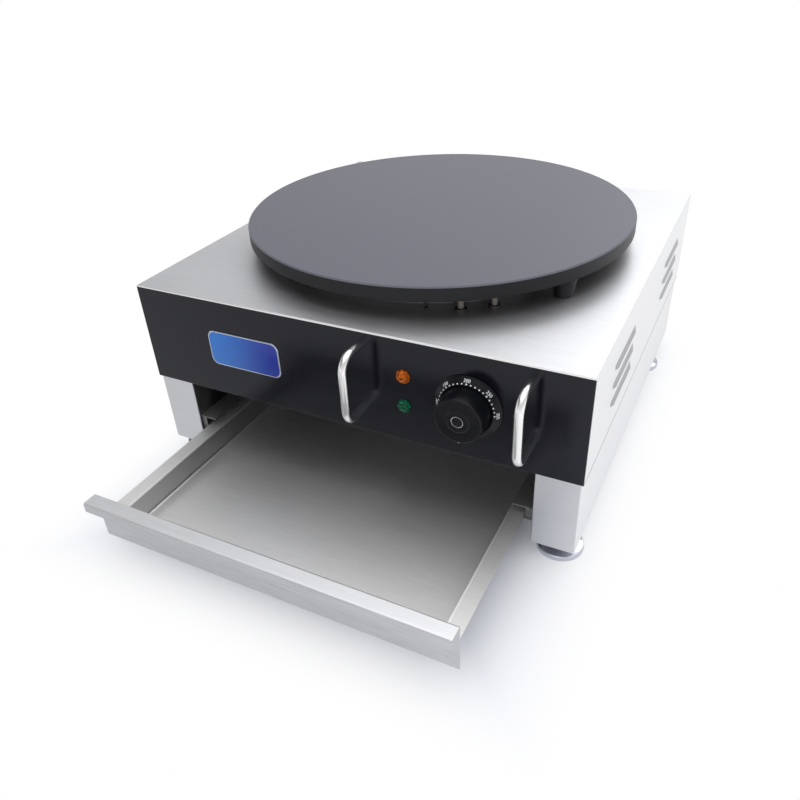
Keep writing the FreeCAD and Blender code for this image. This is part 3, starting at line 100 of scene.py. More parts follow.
# Small and inner parts: colour and roughness
ELEMENT_TUBE = ((0.20, 0.18, 0.17), 0.45)
# Painted reflection: the feet's chrome is darker and bluer than plain chrome, for the dark
# underside that it mirrors
FOOT_CHROME = ((0.60, 0.62, 0.69), 0.08)
FOOT_ZINC = ((0.60, 0.60, 0.58), 0.30)
SCREW_ZINC = ((0.58, 0.58, 0.57), 0.30)
BRASS = ((0.62, 0.46, 0.20), 0.30)
# Painted shade: the ferrules' and sensor's nickel is darkened for the shade under the hot plate
NICKEL = ((0.11, 0.105, 0.10), 0.42)
CAP_CHROME = ((0.75, 0.76, 0.78), 0.22)
BLACK_NYLON = ((0.020, 0.020, 0.021), 0.45)
CERAMIC = ((0.72, 0.70, 0.62), 0.45)
WIRE_SLEEVE = ((0.45, 0.10, 0.05), 0.5)
LAMP_BODY = ((0.62, 0.62, 0.58), 0.5)

# Plain colours
MINERAL_FIBRE = (0.74, 0.71, 0.64)
POINTER_WHITE = (0.8, 0.8, 0.8)
# Painted light: the paler sheet that faces turned to the bright room are tinted towards
LIT_FACE_STEEL = (0.95, 0.955, 0.98)
WHITE = (1, 1, 1)

# Roughness of the inner sheet, the badge's rim and the black plastic, and the last one's shine
INNER_ROUGHNESS = 0.42
RIM_ROUGHNESS = 0.25
MOULDED_ROUGHNESS = 0.30
MOULDED_SHINE = 0.22


def low(node):
    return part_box(node)[0]


def high(node):
    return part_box(node)[1]


def span(node):
    return high(node) - low(node)


def middle(node):
    return (low(node) + high(node)) / 2


def on_panel(node):
    """The point of the panel's face under the middle of a node."""
    place = middle(node)
    return Vector((place.x, low("front_panel").y, place.z))


# ---- Properties


class StageSettings(PropertyGroup):
    camera_place: FloatVectorProperty(
        name="Camera place",
        description="Where the camera stands",
        subtype="TRANSLATION",
        unit="LENGTH",
        default=(0.31197, -0.69234, 0.49196),
    )
    camera_forward: FloatVectorProperty(
        name="Camera direction",
        description="The way the camera looks",
        subtype="DIRECTION",
        default=(-0.39388, 0.73476, -0.55225),
    )
    camera_down: FloatVectorProperty(
        name="Camera down",
        description="The picture's downward direction",
        subtype="DIRECTION",
        default=(0.21519, -0.51041, -0.83257),
    )
    lens: FloatProperty(
        name="Lens",
        description="Focal length on a 36 mm wide sensor",
        default=33.11,
        subtype="DISTANCE_CAMERA",
    )
    floor_size: FloatProperty(
        name="Floor",
        description="Width of the floor",
        default=16.0,
        unit="LENGTH",
    )
    floor_colour: FloatVectorProperty(
        name="Floor colour",
        description="Colour of the floor where it shows a shadow",
        subtype="COLOR",
        default=(0.90, 0.92, 1.0),
    )
    sky_strength: FloatProperty(
        name="Room light",
        description="Light from all round",
        default=0.62,
    )
    ceiling_power: FloatProperty(
        name="Ceiling light",
        description="Power of the large light overhead",
        default=25.5,
        unit="POWER",
    )
    back_power: FloatProperty(
        name="Back light",
        description="Power of the soft light behind the machine",
        default=5.6,
        unit="POWER",
    )
    floor_shade: FloatProperty(
        name="Floor shade",
        description="How bright polished metal sees the floor on the left",
        default=0.74,
    )
    ceiling_shade: FloatProperty(
        name="Ceiling shade",
        description="How bright polished metal sees the ceiling, where the walls are 1",
        default=0.68,
    )


class SteelSettings(PropertyGroup):
    colour: FloatVectorProperty(
        name="Steel",
        description="Colour of the brushed sheet",
        subtype="COLOR",
        default=(0.70, 0.705, 0.73),
    )
    front_colour: FloatVectorProperty(
        name="Drawer front steel",
        description="Colour of the drawer's front",
        subtype="COLOR",
        default=(0.63, 0.635, 0.66),
    )
    # Painted light: the tray is a paler copy of the sheet's steel, for the overhead light that it
    # mirrors
    tray_colour: FloatVectorProperty(
        name="Tray steel",
        description="Colour of the drawer's tray",
        subtype="COLOR",
        default=(0.86, 0.86, 0.855),
    )
    # Painted shade: the runners are a darker copy of the sheet's steel, for the shade of the bay
    runner_colour: FloatVectorProperty(
        name="Runner steel",
        description="Colour of the drawer's runners",
        subtype="COLOR",
        default=(0.62, 0.62, 0.62),
    )
    # Partly painted shade: plain sheet, darkened further for the shade inside the housing
    inner_colour: FloatVectorProperty(
        name="Inner steel",
        description="Colour of the plain sheet inside",
        subtype="COLOR",
        default=(0.30, 0.30, 0.31),
    )
    # Darkness of the painted shade, as a share of the plain sheet
    dulled_share: FloatProperty(
        name="Dulled share",
        description="Brightness of fully dulled sheet, as a share of the plain sheet",
        subtype="FACTOR",
        default=0.20,
    )
    roughness: FloatProperty(
        name="Roughness",
        description="Roughness of the brushed sheet",
        default=0.38,
    )
    flat_lift: FloatProperty(
        name="Flat lift",
        description="How much rougher the sheet is where it lies flat",
        default=0.09,
    )
    grain_length: FloatProperty(
        name="Grain length",
        description="Length of a brush mark",
        default=0.022,
        unit="LENGTH",
    )
    grain_width: FloatProperty(
        name="Grain width",
        description="Width of a brush mark",
        default=0.00045,
        unit="LENGTH",
    )
    streak_share: FloatProperty(
        name="Streak share",
        description="Fineness of the wider streaks, as a share of the brush marks'",
        default=0.55,
    )
    grain_depth: FloatProperty(
        name="Grain depth",
        description="Depth of a brush mark",
        default=0.00008,
        unit="LENGTH",
    )


class PlateSettings(PropertyGroup):
    top_colour: FloatVectorProperty(
        name="Cooking face",
        description="Colour of the coated cooking face",
        subtype="COLOR",
        default=(0.135, 0.138, 0.168),
    )
    # Partly painted shade: the bare casting is dark, and darker still for the shade on the plate's
    # rim and underside
    cast_colour: FloatVectorProperty(
        name="Casting",
        description="Colour of the bare casting underneath",
        subtype="COLOR",
        default=(0.016, 0.016, 0.018),
    )
    roughness: FloatProperty(
        name="Roughness",
        description="Roughness of the cooking face",
        default=0.42,
    )
    turning_pitch: FloatProperty(
        name="Turning marks",
        description="Distance between the fine rings left by turning",
        default=0.0011,
        unit="LENGTH",
    )


class PanelSettings(PropertyGroup):
    colour: FloatVectorProperty(
        name="Panel",
        description="Colour of the black control panel",
        subtype="COLOR",
        default=(0.0035, 0.0035, 0.0065),
    )
    roughness: FloatProperty(
        name="Roughness",
        description="Roughness of the black control panel",
        default=0.16,
    )
    # Painted highlight: colour of the lighter line along the panel's folded lower edge
    edge_colour: FloatVectorProperty(
        name="Edge",
        description="Colour of the panel's worn lower edge",
        subtype="COLOR",
        default=(0.07, 0.07, 0.08),
    )


class BadgeSettings(PropertyGroup):
    colour: FloatVectorProperty(
        name="Badge",
        description="Colour of the badge at its darker right end",
        subtype="COLOR",
        default=(0.020, 0.040, 0.36),
    )
    pale: FloatVectorProperty(
        name="Badge left",
        description="Colour of the badge at its paler left end",
        subtype="COLOR",
        default=(0.020, 0.20, 0.68),
    )
    rim_colour: FloatVectorProperty(
        name="Badge rim",
        description="Colour of the badge's rim",
        subtype="COLOR",
        default=(0.62, 0.68, 0.80),
    )
    rim: FloatProperty(
        name="Rim width",
        description="Width of the badge's pale rim",
        default=0.0012,
        unit="LENGTH",
    )
    corner: FloatProperty(
        name="Corner",
        description="Corner radius of the coloured face",
        default=0.0072,
        unit="LENGTH",
    )


class HandleSettings(PropertyGroup):
    radius: FloatProperty(
        name="Bar radius",
        description="Radius of the handle bar",
        default=0.004,
        unit="LENGTH",
    )
    bend: FloatProperty(
        name="Bend",
        description="Radius of a bend, to the bar's axis",
        default=0.014,
        unit="LENGTH",
    )
    colour: FloatVectorProperty(
        name="Chrome",
        description="Colour of the polished bars",
        subtype="COLOR",
        default=(0.88, 0.88, 0.89),
    )
    roughness: FloatProperty(
        name="Roughness",
        description="Roughness of the polished bars",
        default=0.19,
    )


class DialSettings(PropertyGroup):
    first_angle: FloatProperty(
        name="First mark",
        description="Angle of the first mark, clockwise from the top",
        subtype="ANGLE",
        default=math.radians(-135),
    )
    first_number: IntProperty(
        name="First number",
        description="Number at the first mark",
        default=50,
    )
    last_number: IntProperty(
        name="Last number",
        description="Number at the last mark",
        default=300,
    )
    number_step: IntProperty(
        name="Number step",
        description="From one number to the next",
        default=50,
    )
    dots_per_number: IntProperty(
        name="Dots",
        description="Dots from one number to the next",
        default=5,
    )
    number_turn: FloatProperty(
        name="Turn",
        description="Angle from one number to the next",
        subtype="ANGLE",
        default=math.radians(45),
    )
    outer_radius: FloatProperty(
        name="Bezel foot",
        description="Radius of the bezel's outer edge",
        default=0.030,
        unit="LENGTH",
    )
    outer_height: FloatProperty(
        name="Bezel edge",
        description="Height of the bezel's outer edge",
        default=0.0012,
        unit="LENGTH",
    )
    inner_radius: FloatProperty(
        name="Bezel crest",
        description="Radius of the bezel's crest",
        default=0.0242,
        unit="LENGTH",
    )
    inner_height: FloatProperty(
        name="Bezel height",
        description="Height of the bezel's crest",
        default=0.0064,
        unit="LENGTH",
    )
    dot_circle: FloatProperty(
        name="Dot circle",
        description="Radius of the circle of dots",
        default=0.0249,
        unit="LENGTH",
    )
    dot_radius: FloatProperty(
        name="Dot",
        description="Radius of a dot",
        default=0.00068,
        unit="LENGTH",
    )
    number_circle: FloatProperty(
        name="Number circle",
        description="Radius of the circle that the numbers stand on",
        default=0.0261,
        unit="LENGTH",
    )
    number_height: FloatProperty(
        name="Number height",
        description="Height of a number",
        default=0.0041,
        unit="LENGTH",
    )
    mark_colour: FloatVectorProperty(
        name="Marks",
        description="Colour of the printed marks",
        subtype="COLOR",
        default=(0.92, 0.94, 0.96),
    )
    black: FloatVectorProperty(
        name="Black",
        description="Colour of the moulded black plastic",
        subtype="COLOR",
        default=(0.0050, 0.0054, 0.0075),
    )
    rib_count: IntProperty(
        name="Ribs",
        description="Ribs round the knob",
        default=60,
    )
    rib_depth: FloatProperty(
        name="Rib depth",
        description="Depth of the ribs round the knob",
        default=0.00022,
        unit="LENGTH",
    )


class LampSettings(PropertyGroup):
    amber: FloatVectorProperty(
        name="Amber",
        description="Colour of the upper lens",
        subtype="COLOR",
        default=(0.50, 0.105, 0.002),
    )
    green: FloatVectorProperty(
        name="Green",
        description="Colour of the lower lens",
        subtype="COLOR",
        default=(0.001, 0.125, 0.062),
    )
    facets: IntProperty(
        name="Facets",
        description="Facets round a lens",
        default=10,
    )


class CrepeMakerSettings(PropertyGroup):
    stage: PointerProperty(type=StageSettings)
    steel: PointerProperty(type=SteelSettings)
    plate: PointerProperty(type=PlateSettings)
    panel: PointerProperty(type=PanelSettings)
    badge: PointerProperty(type=BadgeSettings)
    handles: PointerProperty(type=HandleSettings)
    dial: PointerProperty(type=DialSettings)
    lamps: PointerProperty(type=LampSettings)


# ---- Finishes


class Signal:
    """One socket of a node tree; Python's operators on it add Math nodes."""

    def __init__(self, nodes, socket):
        self.nodes = nodes
        self.socket = socket

    def __add__(self, other):
        return self.nodes.maths("ADD", self, other)

    def __sub__(self, other):
        return self.nodes.maths("SUBTRACT", self, other)

    def __rsub__(self, other):
        return self.nodes.maths("SUBTRACT", other, self)

    def __mul__(self, other):
        return self.nodes.maths("MULTIPLY", self, other)

    def __pow__(self, other):
        return self.nodes.maths("POWER", self, other)

    def __gt__(self, other):
        return self.nodes.maths("GREATER_THAN", self, other)

    def __abs__(self):
        return self.nodes.maths("ABSOLUTE", self)

    __radd__ = __add__
    __rmul__ = __mul__


class Nodes:
    """A node tree, built node by node."""

    def __init__(self, tree):
        self.tree = tree

    def node(self, kind, settings, inputs, output=0):
        """Adds a node: its settings first, then the values or links of its sockets."""
        node = self.tree.nodes.new(kind)
        for name, value in settings.items():
            setattr(node, name, value)
        for socket, value in inputs.items():
            self.link(value, node.inputs[socket])
        return Signal(self, node.outputs[output])

    def link(self, value, socket):
        if isinstance(value, Signal):
            self.tree.links.new(value.socket, socket)
        elif socket.type == "RGBA" and len(value) == 3:
            socket.default_value = (*value, 1)
        else:
            socket.default_value = value

    def maths(self, operation, *values):
        return self.node("ShaderNodeMath", {"operation": operation}, dict(enumerate(values)))

    def ramp(self, value, start, end, first=0.0, last=1.0):
        """First before a value's start, last after its end, and smooth between."""
        values = {"Value": value, "From Min": start, "From Max": end}
        values.update({"To Min": first, "To Max": last})
        return self.node("ShaderNodeMapRange", {"interpolation_type": "SMOOTHSTEP"}, values)

    def place(self):
        return self.node("ShaderNodeTexCoord", {}, {}, "Object")

    def parts(self, vector):
        """A vector's three numbers."""
        axes = self.node("ShaderNodeSeparateXYZ", {}, {"Vector": vector})
        return [Signal(self, output) for output in axes.socket.node.outputs]

    def facing(self, axis):
        """1 where the surface faces along an axis of the object, and 0 elsewhere."""
        normal = self.node("ShaderNodeTexCoord", {}, {}, "Normal")
        return abs(self.parts(normal)[axis]) > 0.7

    def noise(self, scale, detail=2, roughness=0.5, stretch=(1, 1, 1)):
        vector = self.node("ShaderNodeMapping", {}, {"Vector": self.place(), "Scale": stretch})
        values = {"Vector": vector, "Scale": scale, "Detail": detail, "Roughness": roughness}
        return self.node("ShaderNodeTexNoise", {}, values)

    def tint(self, amount, one, other):
        """A colour between two, by a number from 0 to 1."""
        colours = {"Factor": amount, 6: one, 7: other}
        return self.node("ShaderNodeMix", {"data_type": "RGBA"}, colours, 2)

    def mottled(self, amount, colour, darkest, palest):
        """A colour between two shares of its brightness, by a number from 0 to 1."""
        return self.tint(amount, scaled(colour, darkest), scaled(colour, palest))


class Finish(Nodes):
    """A material built round its Principled shader."""

    def __init__(self, name, **values):
        self.material = bpy.data.materials.new(name)
        self.material.use_nodes = True
        super().__init__(self.material.node_tree)
        self.shader = self.tree.nodes["Principled BSDF"]
        for socket, value in values.items():
            self.feed(socket.replace("_", " "), value)

    def feed(self, socket, value):
        self.link(value, self.shader.inputs[socket])

    def bump(self, height, strength, distance):
        values = {"Height": height, "Strength": strength, "Distance": distance}
        self.feed("Normal", self.node("ShaderNodeBump", {}, values))


def scaled(colour, share):
    return tuple(channel * share for channel in colour)


def brushed_steel(name, steel, colour, along, streaks, lift=1, pale=(), shaded=None, bright=None):
    """Brushed sheet, whose grain runs along the axis given for each way it faces."""
    finish = Finish(name, Metallic=1.0)
    fine = 1 / steel.grain_width
    slow = 1 / steel.grain_length
    grain = 0
    for face, axis in enumerate(along):
        stretch = [slow if n == axis else fine for n in range(3)]
        wide = [size * steel.streak_share for size in stretch]
        marks = finish.noise(1, 2, 0.6, stretch) * 0.6 + finish.noise(1, 1, 0.5, wide) * 0.4
        grain = finish.facing(face) * marks + grain
    cloud = finish.noise(9, 3, 0.55)
    shade = (grain - 0.5) * streaks + (cloud - 0.5) * 0.25 + 0.5
    sheet = finish.mottled(shade, colour, 0.86, 1.14)
    # Painted light: faces along the given axis are tinted paler by the given share, for the bright
    # room that they mirror
    if pale:
        axis, share = pale
        sheet = finish.tint(finish.facing(axis) * share, sheet, LIT_FACE_STEEL)
    # Painted shade: where the given mask is 1, the sheet is darkened to the shaded share of its
    # colour
    if shaded:
        sheet = finish.tint(shaded(finish), sheet, scaled(colour, steel.dulled_share))
    # Painted highlight: where the given mask is 1, the sheet is painted white
    if bright:
        sheet = finish.tint(bright(finish), sheet, WHITE)
    # Painted highlight: the bend along the cover's front edge, painted white for the light that
    # its fold catches
    height = finish.parts(finish.place())[2]
    bend = finish.facing(1) * (height > high("top_cover").z - 2 * MM)
    finish.feed("Base Color", finish.tint(bend, sheet, WHITE))
    level = finish.facing(2) * (steel.flat_lift * lift) + steel.roughness
    finish.feed("Roughness", (grain - 0.5) * 0.12 + (cloud - 0.5) * 0.06 + level)
    finish.bump(grain, 1.0, steel.grain_depth)
    return finish.material


def cover_dulling(finish):
    """Painted shade: darker on the louvre hoods, for the darker room that they mirror, in a line
    along the lower edge, for the shadow of the gap, and under the hot plate, for its shadow.
    """
    x, y, z = finish.parts(finish.place())
    skirt = span("front_panel").x / 2
    # Painted reflection: the louvre hoods, standing proud of the side, darkened for the darker
    # room that they mirror
    hoods = finish.ramp(abs(x), skirt + 0.2 * MM, skirt + 1.0 * MM) * 0.65
    foot = low("top_cover").z
    # Painted shadow: a thin dark line along the cover's lower edge
    edge = 1 - finish.ramp(z, foot + 1.1 * MM, foot + 1.7 * MM)
    plate = high("griddle_plate").x
    # Painted shadow of the hot plate on the cover's top
    open_top = finish.ramp(x * x + y * y, (plate - 40 * MM) ** 2, (plate + 4 * MM) ** 2)
    under = (1 - open_top) * finish.facing(2) * 0.8
    return finish.maths("MAXIMUM", finish.maths("MAXIMUM", hoods, edge), under)


def bay_dulling(finish):
    """Painted shade on the sides' inner faces, inside the drawer bay."""
    across = finish.parts(finish.place())[0]
    inside = high("right_side_panel").x - 0.6 * MM
    return finish.facing(0) * (inside - abs(across) > 0) * 0.85


def tray_dulling(finish):
    """Painted shade, at part strength, on the tray's side walls, for the dark underside of the
    housing that they mirror.
    """
    return finish.facing(0) * 0.55


def runner_dulling(finish):
    """Painted shade on the runners' webs and front ends, which stand in the shade of the bay."""
    return finish.facing(0) * 0.8 + finish.facing(1) * 0.9


def bright_bends(finish):
    """Painted highlight: 1 on the narrow bends along the tray's rims, for the light that they
    catch.
    """
    x, _, z = finish.parts(finish.place())
    inner = span("drawer_tray").x / 2 - EAR_TO_BEND
    across = 1 - finish.ramp(abs(abs(x) - inner), 0.9 * MM, 1.3 * MM)
    return across * (z > high("drawer_tray").z - 1.5 * MM)


def plated_steel(name, colour, roughness):
    """Plain or zinc plated steel with a faint cloudiness."""
    finish = Finish(name, Metallic=1.0)
    cloud = finish.noise(220, 3, 0.6)
    finish.feed("Base Color", finish.mottled(cloud, colour, 0.85, 1.1))
    finish.feed("Roughness", cloud * 0.12 + roughness)
    return finish.material


def chrome(name, colour, roughness):
    """Polished plating, a little uneven in its gloss."""
    finish = Finish(name, Metallic=1.0)
    cloud = finish.noise(90, 3, 0.6)
    finish.feed("Base Color", finish.mottled(cloud, colour, 0.95, 1.03))
    finish.feed("Roughness", cloud * 0.05 + roughness)
    return finish.material


def moulded_plastic(name, colour, roughness, texture=0.05, grain=1400, shine=0.5):
    """Moulded plastic with a fine skin."""
    finish = Finish(name, Specular_IOR_Level=shine)
    skin = finish.noise(grain, 2, 0.6)
    cloud = finish.noise(30, 2, 0.5)
    finish.feed("Base Color", finish.mottled(cloud, colour, 0.85, 1.15))
    finish.feed("Roughness", (skin - 0.5) * 0.10 + (cloud - 0.5) * 0.05 + roughness)
    finish.bump(skin, texture, 0.2 * MM)
    return finish.material


def cooking_plate(plate):
    """Turned casting: fine rings on the coated face, a grainy rim and underside."""
    finish = Finish("cooking_plate", Specular_IOR_Level=0.25)
    x, y, z = finish.parts(finish.place())
    radius = (x * x + y * y) ** 0.5
    top = finish.facing(2) * (z > high("griddle_plate").z - 2 * MM)
    rings = finish.maths("SINE", radius * (2 * math.pi / plate.turning_pitch))
    cloud = finish.noise(14, 4, 0.6)
    speck = finish.noise(2600, 2, 0.7)
    shade = (cloud - 0.5) * 0.35 + (speck - 0.5) * 0.25 + 0.5
    face = finish.mottled(shade, plate.top_colour, 0.90, 1.10)
    cast = finish.mottled(shade, plate.cast_colour, 0.7, 1.25)
    finish.feed("Base Color", finish.tint(top, cast, face))
    finish.feed("Roughness", (speck - 0.5) * 0.12 + (cloud - 0.5) * 0.06 + plate.roughness)
    finish.bump(top * rings * 0.15 + speck * 0.5, 0.12, 0.2 * MM)
    return finish.material


def black_panel(panel):
    """Black film over sheet steel, almost a mirror."""
    finish = Finish("black_panel", IOR=1.43, Specular_Tint=(0.86, 0.88, 1.0))
    cloud = finish.noise(7, 3, 0.5)
    skin = finish.noise(1800, 2, 0.5)
    film = finish.mottled(cloud, panel.colour, 0.8, 1.2)
    foot = low("front_panel").z
    height = finish.parts(finish.place())[2]
    # Painted highlight: a lighter line along the panel's folded lower edge
    edge = 1 - finish.ramp(height, foot + 0.3 * MM, foot + 0.9 * MM)
    finish.feed("Base Color", finish.tint(edge, film, panel.edge_colour))
    finish.feed("Roughness", (skin - 0.5) * 0.05 + (cloud - 0.5) * 0.04 + panel.roughness)
    finish.bump(skin, 0.02, 0.1 * MM)
    return finish.material


def lamp_lens(name, colour):
    """Tinted faceted plastic, with painted glints: lighter and darker in random facet-sized cells,
    for light caught by the facets.
    """
    finish = Finish(name, IOR=1.36, Specular_IOR_Level=0.35)
    cells = {"Vector": finish.place(), "Scale": 520.0}
    facet_glint = finish.parts(finish.node("ShaderNodeTexVoronoi", {}, cells, "Color"))[0]
    finish.feed("Base Color", finish.mottled(facet_glint, colour, 0.25, 1.6))
    finish.feed("Roughness", facet_glint * 0.12 + 0.12)
    return finish.material


def badge_enamel(badge, left, right):
    """Glossy enamel that deepens from the badge's left end to its right one."""
    finish = Finish("badge_face", IOR=1.4, Coat_Weight=0.2, Coat_Roughness=0.04)
    cloud = finish.noise(40, 2, 0.5)
    x = finish.parts(finish.place())[0]
    across = finish.ramp(x + (cloud - 0.5) * 0.01, left, right)
    finish.feed("Base Color", finish.tint(across, badge.pale, badge.colour))
    finish.feed("Roughness", cloud * 0.08 + 0.22)
    return finish.material


def printed_mark(name, colour):
    """Printing ink, slightly worn."""
    finish = Finish(name)
    wear = finish.noise(2500, 3, 0.6)
    finish.feed("Base Color", finish.mottled(wear, colour, 0.9, 1.05))
    finish.feed("Roughness", wear * 0.2 + 0.4)
    return finish.material


def fibre_board(name, colour):
    """Pressed mineral fibre, dull and rough."""
    finish = Finish(name)
    fibre = finish.noise(600, 4, 0.7)
    finish.feed("Base Color", finish.mottled(fibre, colour, 0.8, 1.05))
    finish.feed("Roughness", fibre * 0.1 + 0.85)
    finish.bump(fibre, 0.5, 0.4 * MM)
    return finish.material


def clothe(material, *nodes):
    """Gives CAD nodes a finish, in place of the one they came with."""
    for name in nodes:
        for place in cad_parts[name].material_slots:
            place.material = material


# ---- Meshes


def settle(form, name, material, body, smooth=True, replaces=()):
    """Turns a bmesh into a finished piece that rides on a body."""
    bmesh.ops.remove_doubles(form, verts=form.verts, dist=1e-6)
    bmesh.ops.recalc_face_normals(form, faces=form.faces)
    mesh = bpy.data.meshes.new(name)
    form.to_mesh(mesh)
    form.free()
    mesh.materials.append(material)
    piece = bpy.data.objects.new(name, mesh)
    bpy.context.scene.collection.objects.link(piece)
    if smooth:
        mesh.shade_smooth()
        mesh.set_sharp_from_angle(angle=math.radians(35))
    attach(piece, body)
    if replaces:
        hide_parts(*replaces)


def spun(form, profile, steps):
    """Turns a line of radii and heights about the upright axis."""
    corners = [form.verts.new((radius, 0, height)) for radius, height in profile]
    edges = [form.edges.new(pair) for pair in zip(corners, corners[1:])]
    bmesh.ops.spin(
        form,
        geom=corners + edges,
        cent=(0, 0, 0),
        axis=(0, 0, 1),
        angle=2 * math.pi,
        steps=steps,
        use_merge=True,
    )
    bmesh.ops.remove_doubles(form, verts=form.verts, dist=1e-7)


def of_kind(items, kind):
    return [item for item in items if isinstance(item, kind)]


def facing_out(place):
    """Stands a shape drawn on its back against the control panel."""
    turn = Matrix((RIGHT, UP, OUT)).transposed().to_4x4()
    return Matrix.Translation(place) @ turn


def move(form, matrix, verts=None):
    bmesh.ops.transform(form, matrix=matrix, verts=verts or form.verts)


def rounded_slab(form, width, height, corner, base, top, bevel):
    """A flat slab with rounded corners and a softened upper edge."""
    made = bmesh.ops.create_grid(form, x_segments=1, y_segments=1, size=0.5)
    bmesh.ops.scale(form, vec=(width, height, 1), verts=made["verts"])
    bmesh.ops.bevel(
        form,
        geom=made["verts"],
        offset=corner,
        segments=10,
        profile=0.5,
        affect="VERTICES",
        material=-1,
    )
    risen = bmesh.ops.extrude_face_region(form, geom=form.faces[:])["geom"]
    bmesh.ops.translate(form, vec=(0, 0, base), verts=form.verts)
    bmesh.ops.translate(form, vec=(0, 0, top - base), verts=of_kind(risen, bmesh.types.BMVert))
    upper = [
        edge for edge in form.edges
        if all(abs(vert.co.z - top) < 1e-7 for vert in edge.verts) and edge.is_manifold
    ]
    bmesh.ops.bevel(
        form,
        geom=upper,
        offset=bevel,
        segments=3,
        profile=0.5,
        affect="EDGES",
        material=-1,
    )


def dial_matrix(dial, radius, angle):
    """Where a mark lies on the bezel's sloping face, at an angle clockwise from the top."""
    outward = RIGHT * math.sin(angle) + UP * math.cos(angle)
    clockwise = RIGHT * math.cos(angle) - UP * math.sin(angle)
    fall = dial.inner_height - dial.outer_height
    run = dial.outer_radius - dial.inner_radius
    slope = math.atan2(fall, run)
    down_slope = outward * math.cos(slope) - OUT * math.sin(slope)
    normal = OUT * math.cos(slope) + outward * math.sin(slope)
    height = dial.inner_height - fall * (radius - dial.inner_radius) / run
    place = on_panel("dial_bezel") + outward * radius + OUT * height + normal * MARK_LIFT
    turn = Matrix((clockwise, down_slope, normal)).transposed().to_4x4()
    return Matrix.Translation(place) @ turn


def settings():
    return bpy.context.scene.crepe_maker


# ---- Operators


class CREPE_OT_stage(Operator):
    """Camera, floor, room light and lamps."""

    bl_idname = "crepe_maker.stage"
    bl_label = "Stage"

    def execute(self, context):
        stage = settings().stage
        scene = context.scene
        scene.view_settings.view_transform = "Standard"
        self.add_camera(scene, stage)
        self.add_room(scene, stage)
        self.add_floor(scene, stage)
        self.add_light(scene, "ceiling_light", stage.ceiling_power, *CEILING_LIGHT)
        self.add_light(scene, "back_light", stage.back_power, *BACK_LIGHT)
        return {"FINISHED"}

    def add_camera(self, scene, stage):
        forward = Vector(stage.camera_forward).normalized()
        up = -Vector(stage.camera_down)
        right = forward.cross(up).normalized()
        up = right.cross(forward)
        turn = Matrix((right, up, -forward)).transposed().to_4x4()
        data = bpy.data.cameras.new("camera")
        data.sensor_width = 36.0
        data.lens = stage.lens
        camera = bpy.data.objects.new("camera", data)
        camera.matrix_world = Matrix.Translation(stage.camera_place) @ turn
        scene.collection.objects.link(camera)
        scene.camera = camera

    def seen_directly(self, nodes):
        """1 for what the camera sees straight, in a mirror or through glass."""
        outputs = nodes.node("ShaderNodeLightPath", {}, {}).socket.node.outputs
        names = ("Is Camera Ray", "Is Glossy Ray", "Is Transmission Ray")
        camera, glossy, through = (Signal(nodes, outputs[name]) for name in names)
        return nodes.maths("MINIMUM", camera + glossy + through, 1.0), camera

    def add_room(self, scene, stage):
        """Light from all round, and the walls and darker ceiling that metal mirrors."""
        world = bpy.data.worlds.new("room")
        world.use_nodes = True
        room = Nodes(world.node_tree)
        seen, camera = self.seen_directly(room)
        way = room.parts(room.node("ShaderNodeTexCoord", {}, {}, "Generated"))
        shade = stage.ceiling_shade
        ceiling = room.ramp(way[0], *LEFT_WALL, shade * LEFT_WALL_SHARE, shade)
        mirrored = room.ramp(way[2], 0.0, CEILING_START, 1.0, ceiling)
        background = room.tree.nodes["Background"]
        strength = seen * (mirrored * (1 - camera) + camera) + (1 - seen) * stage.sky_strength
        room.link(strength, background.inputs["Strength"])
        room.link(WHITE, background.inputs["Color"])
        scene.world = world

    def add_floor(self, scene, stage):
        """White ground that keeps the shadow near the object."""
        form = bmesh.new()
        bmesh.ops.create_grid(form, x_segments=1, y_segments=1, size=stage.floor_size / 2)
        mesh = bpy.data.meshes.new("floor")
        form.to_mesh(mesh)
        form.free()
        floor = bpy.data.objects.new("floor", mesh)
        scene.collection.objects.link(floor)
        ground = {"Base_Color": stage.floor_colour, "Roughness": 0.75, "Specular_IOR_Level": 0.2}
        finish = Finish("floor", **ground)
        x, y, _ = finish.parts(finish.place())
        beside = abs(x) - SHADOW_HALF_WIDTH
        before = abs(y + SHADOW_FORWARD) - SHADOW_HALF_DEPTH
        fade = finish.ramp(finish.maths("MAXIMUM", beside, before), *SHADOW_FADE)
        seen, camera = self.seen_directly(finish)
        lit = finish.ramp(x, *FLOOR_TURN, stage.floor_shade, FLOOR_RIGHT)
        strength = camera + (1 - camera) * lit
        white = finish.node("ShaderNodeEmission", {}, {"Color": WHITE, "Strength": strength})
        shader = Signal(finish, finish.shader.outputs[0])
        mixed = finish.node("ShaderNodeMixShader", {}, {0: fade * seen, 1: shader, 2: white})
        finish.link(mixed, finish.tree.nodes["Material Output"].inputs["Surface"])
        mesh.materials.append(finish.material)

    def add_light(self, scene, name, power, place, width, depth):
        data = bpy.data.lights.new(name, "AREA")
        data.shape = "RECTANGLE"
        data.size = width
        data.size_y = depth
        data.energy = power
        light = bpy.data.objects.new(name, data)
        light.location = place
        light.visible_camera = False
        light.rotation_euler = (LIGHT_AIM - place).to_track_quat("-Z", "Y").to_euler()
        scene.collection.objects.link(light)


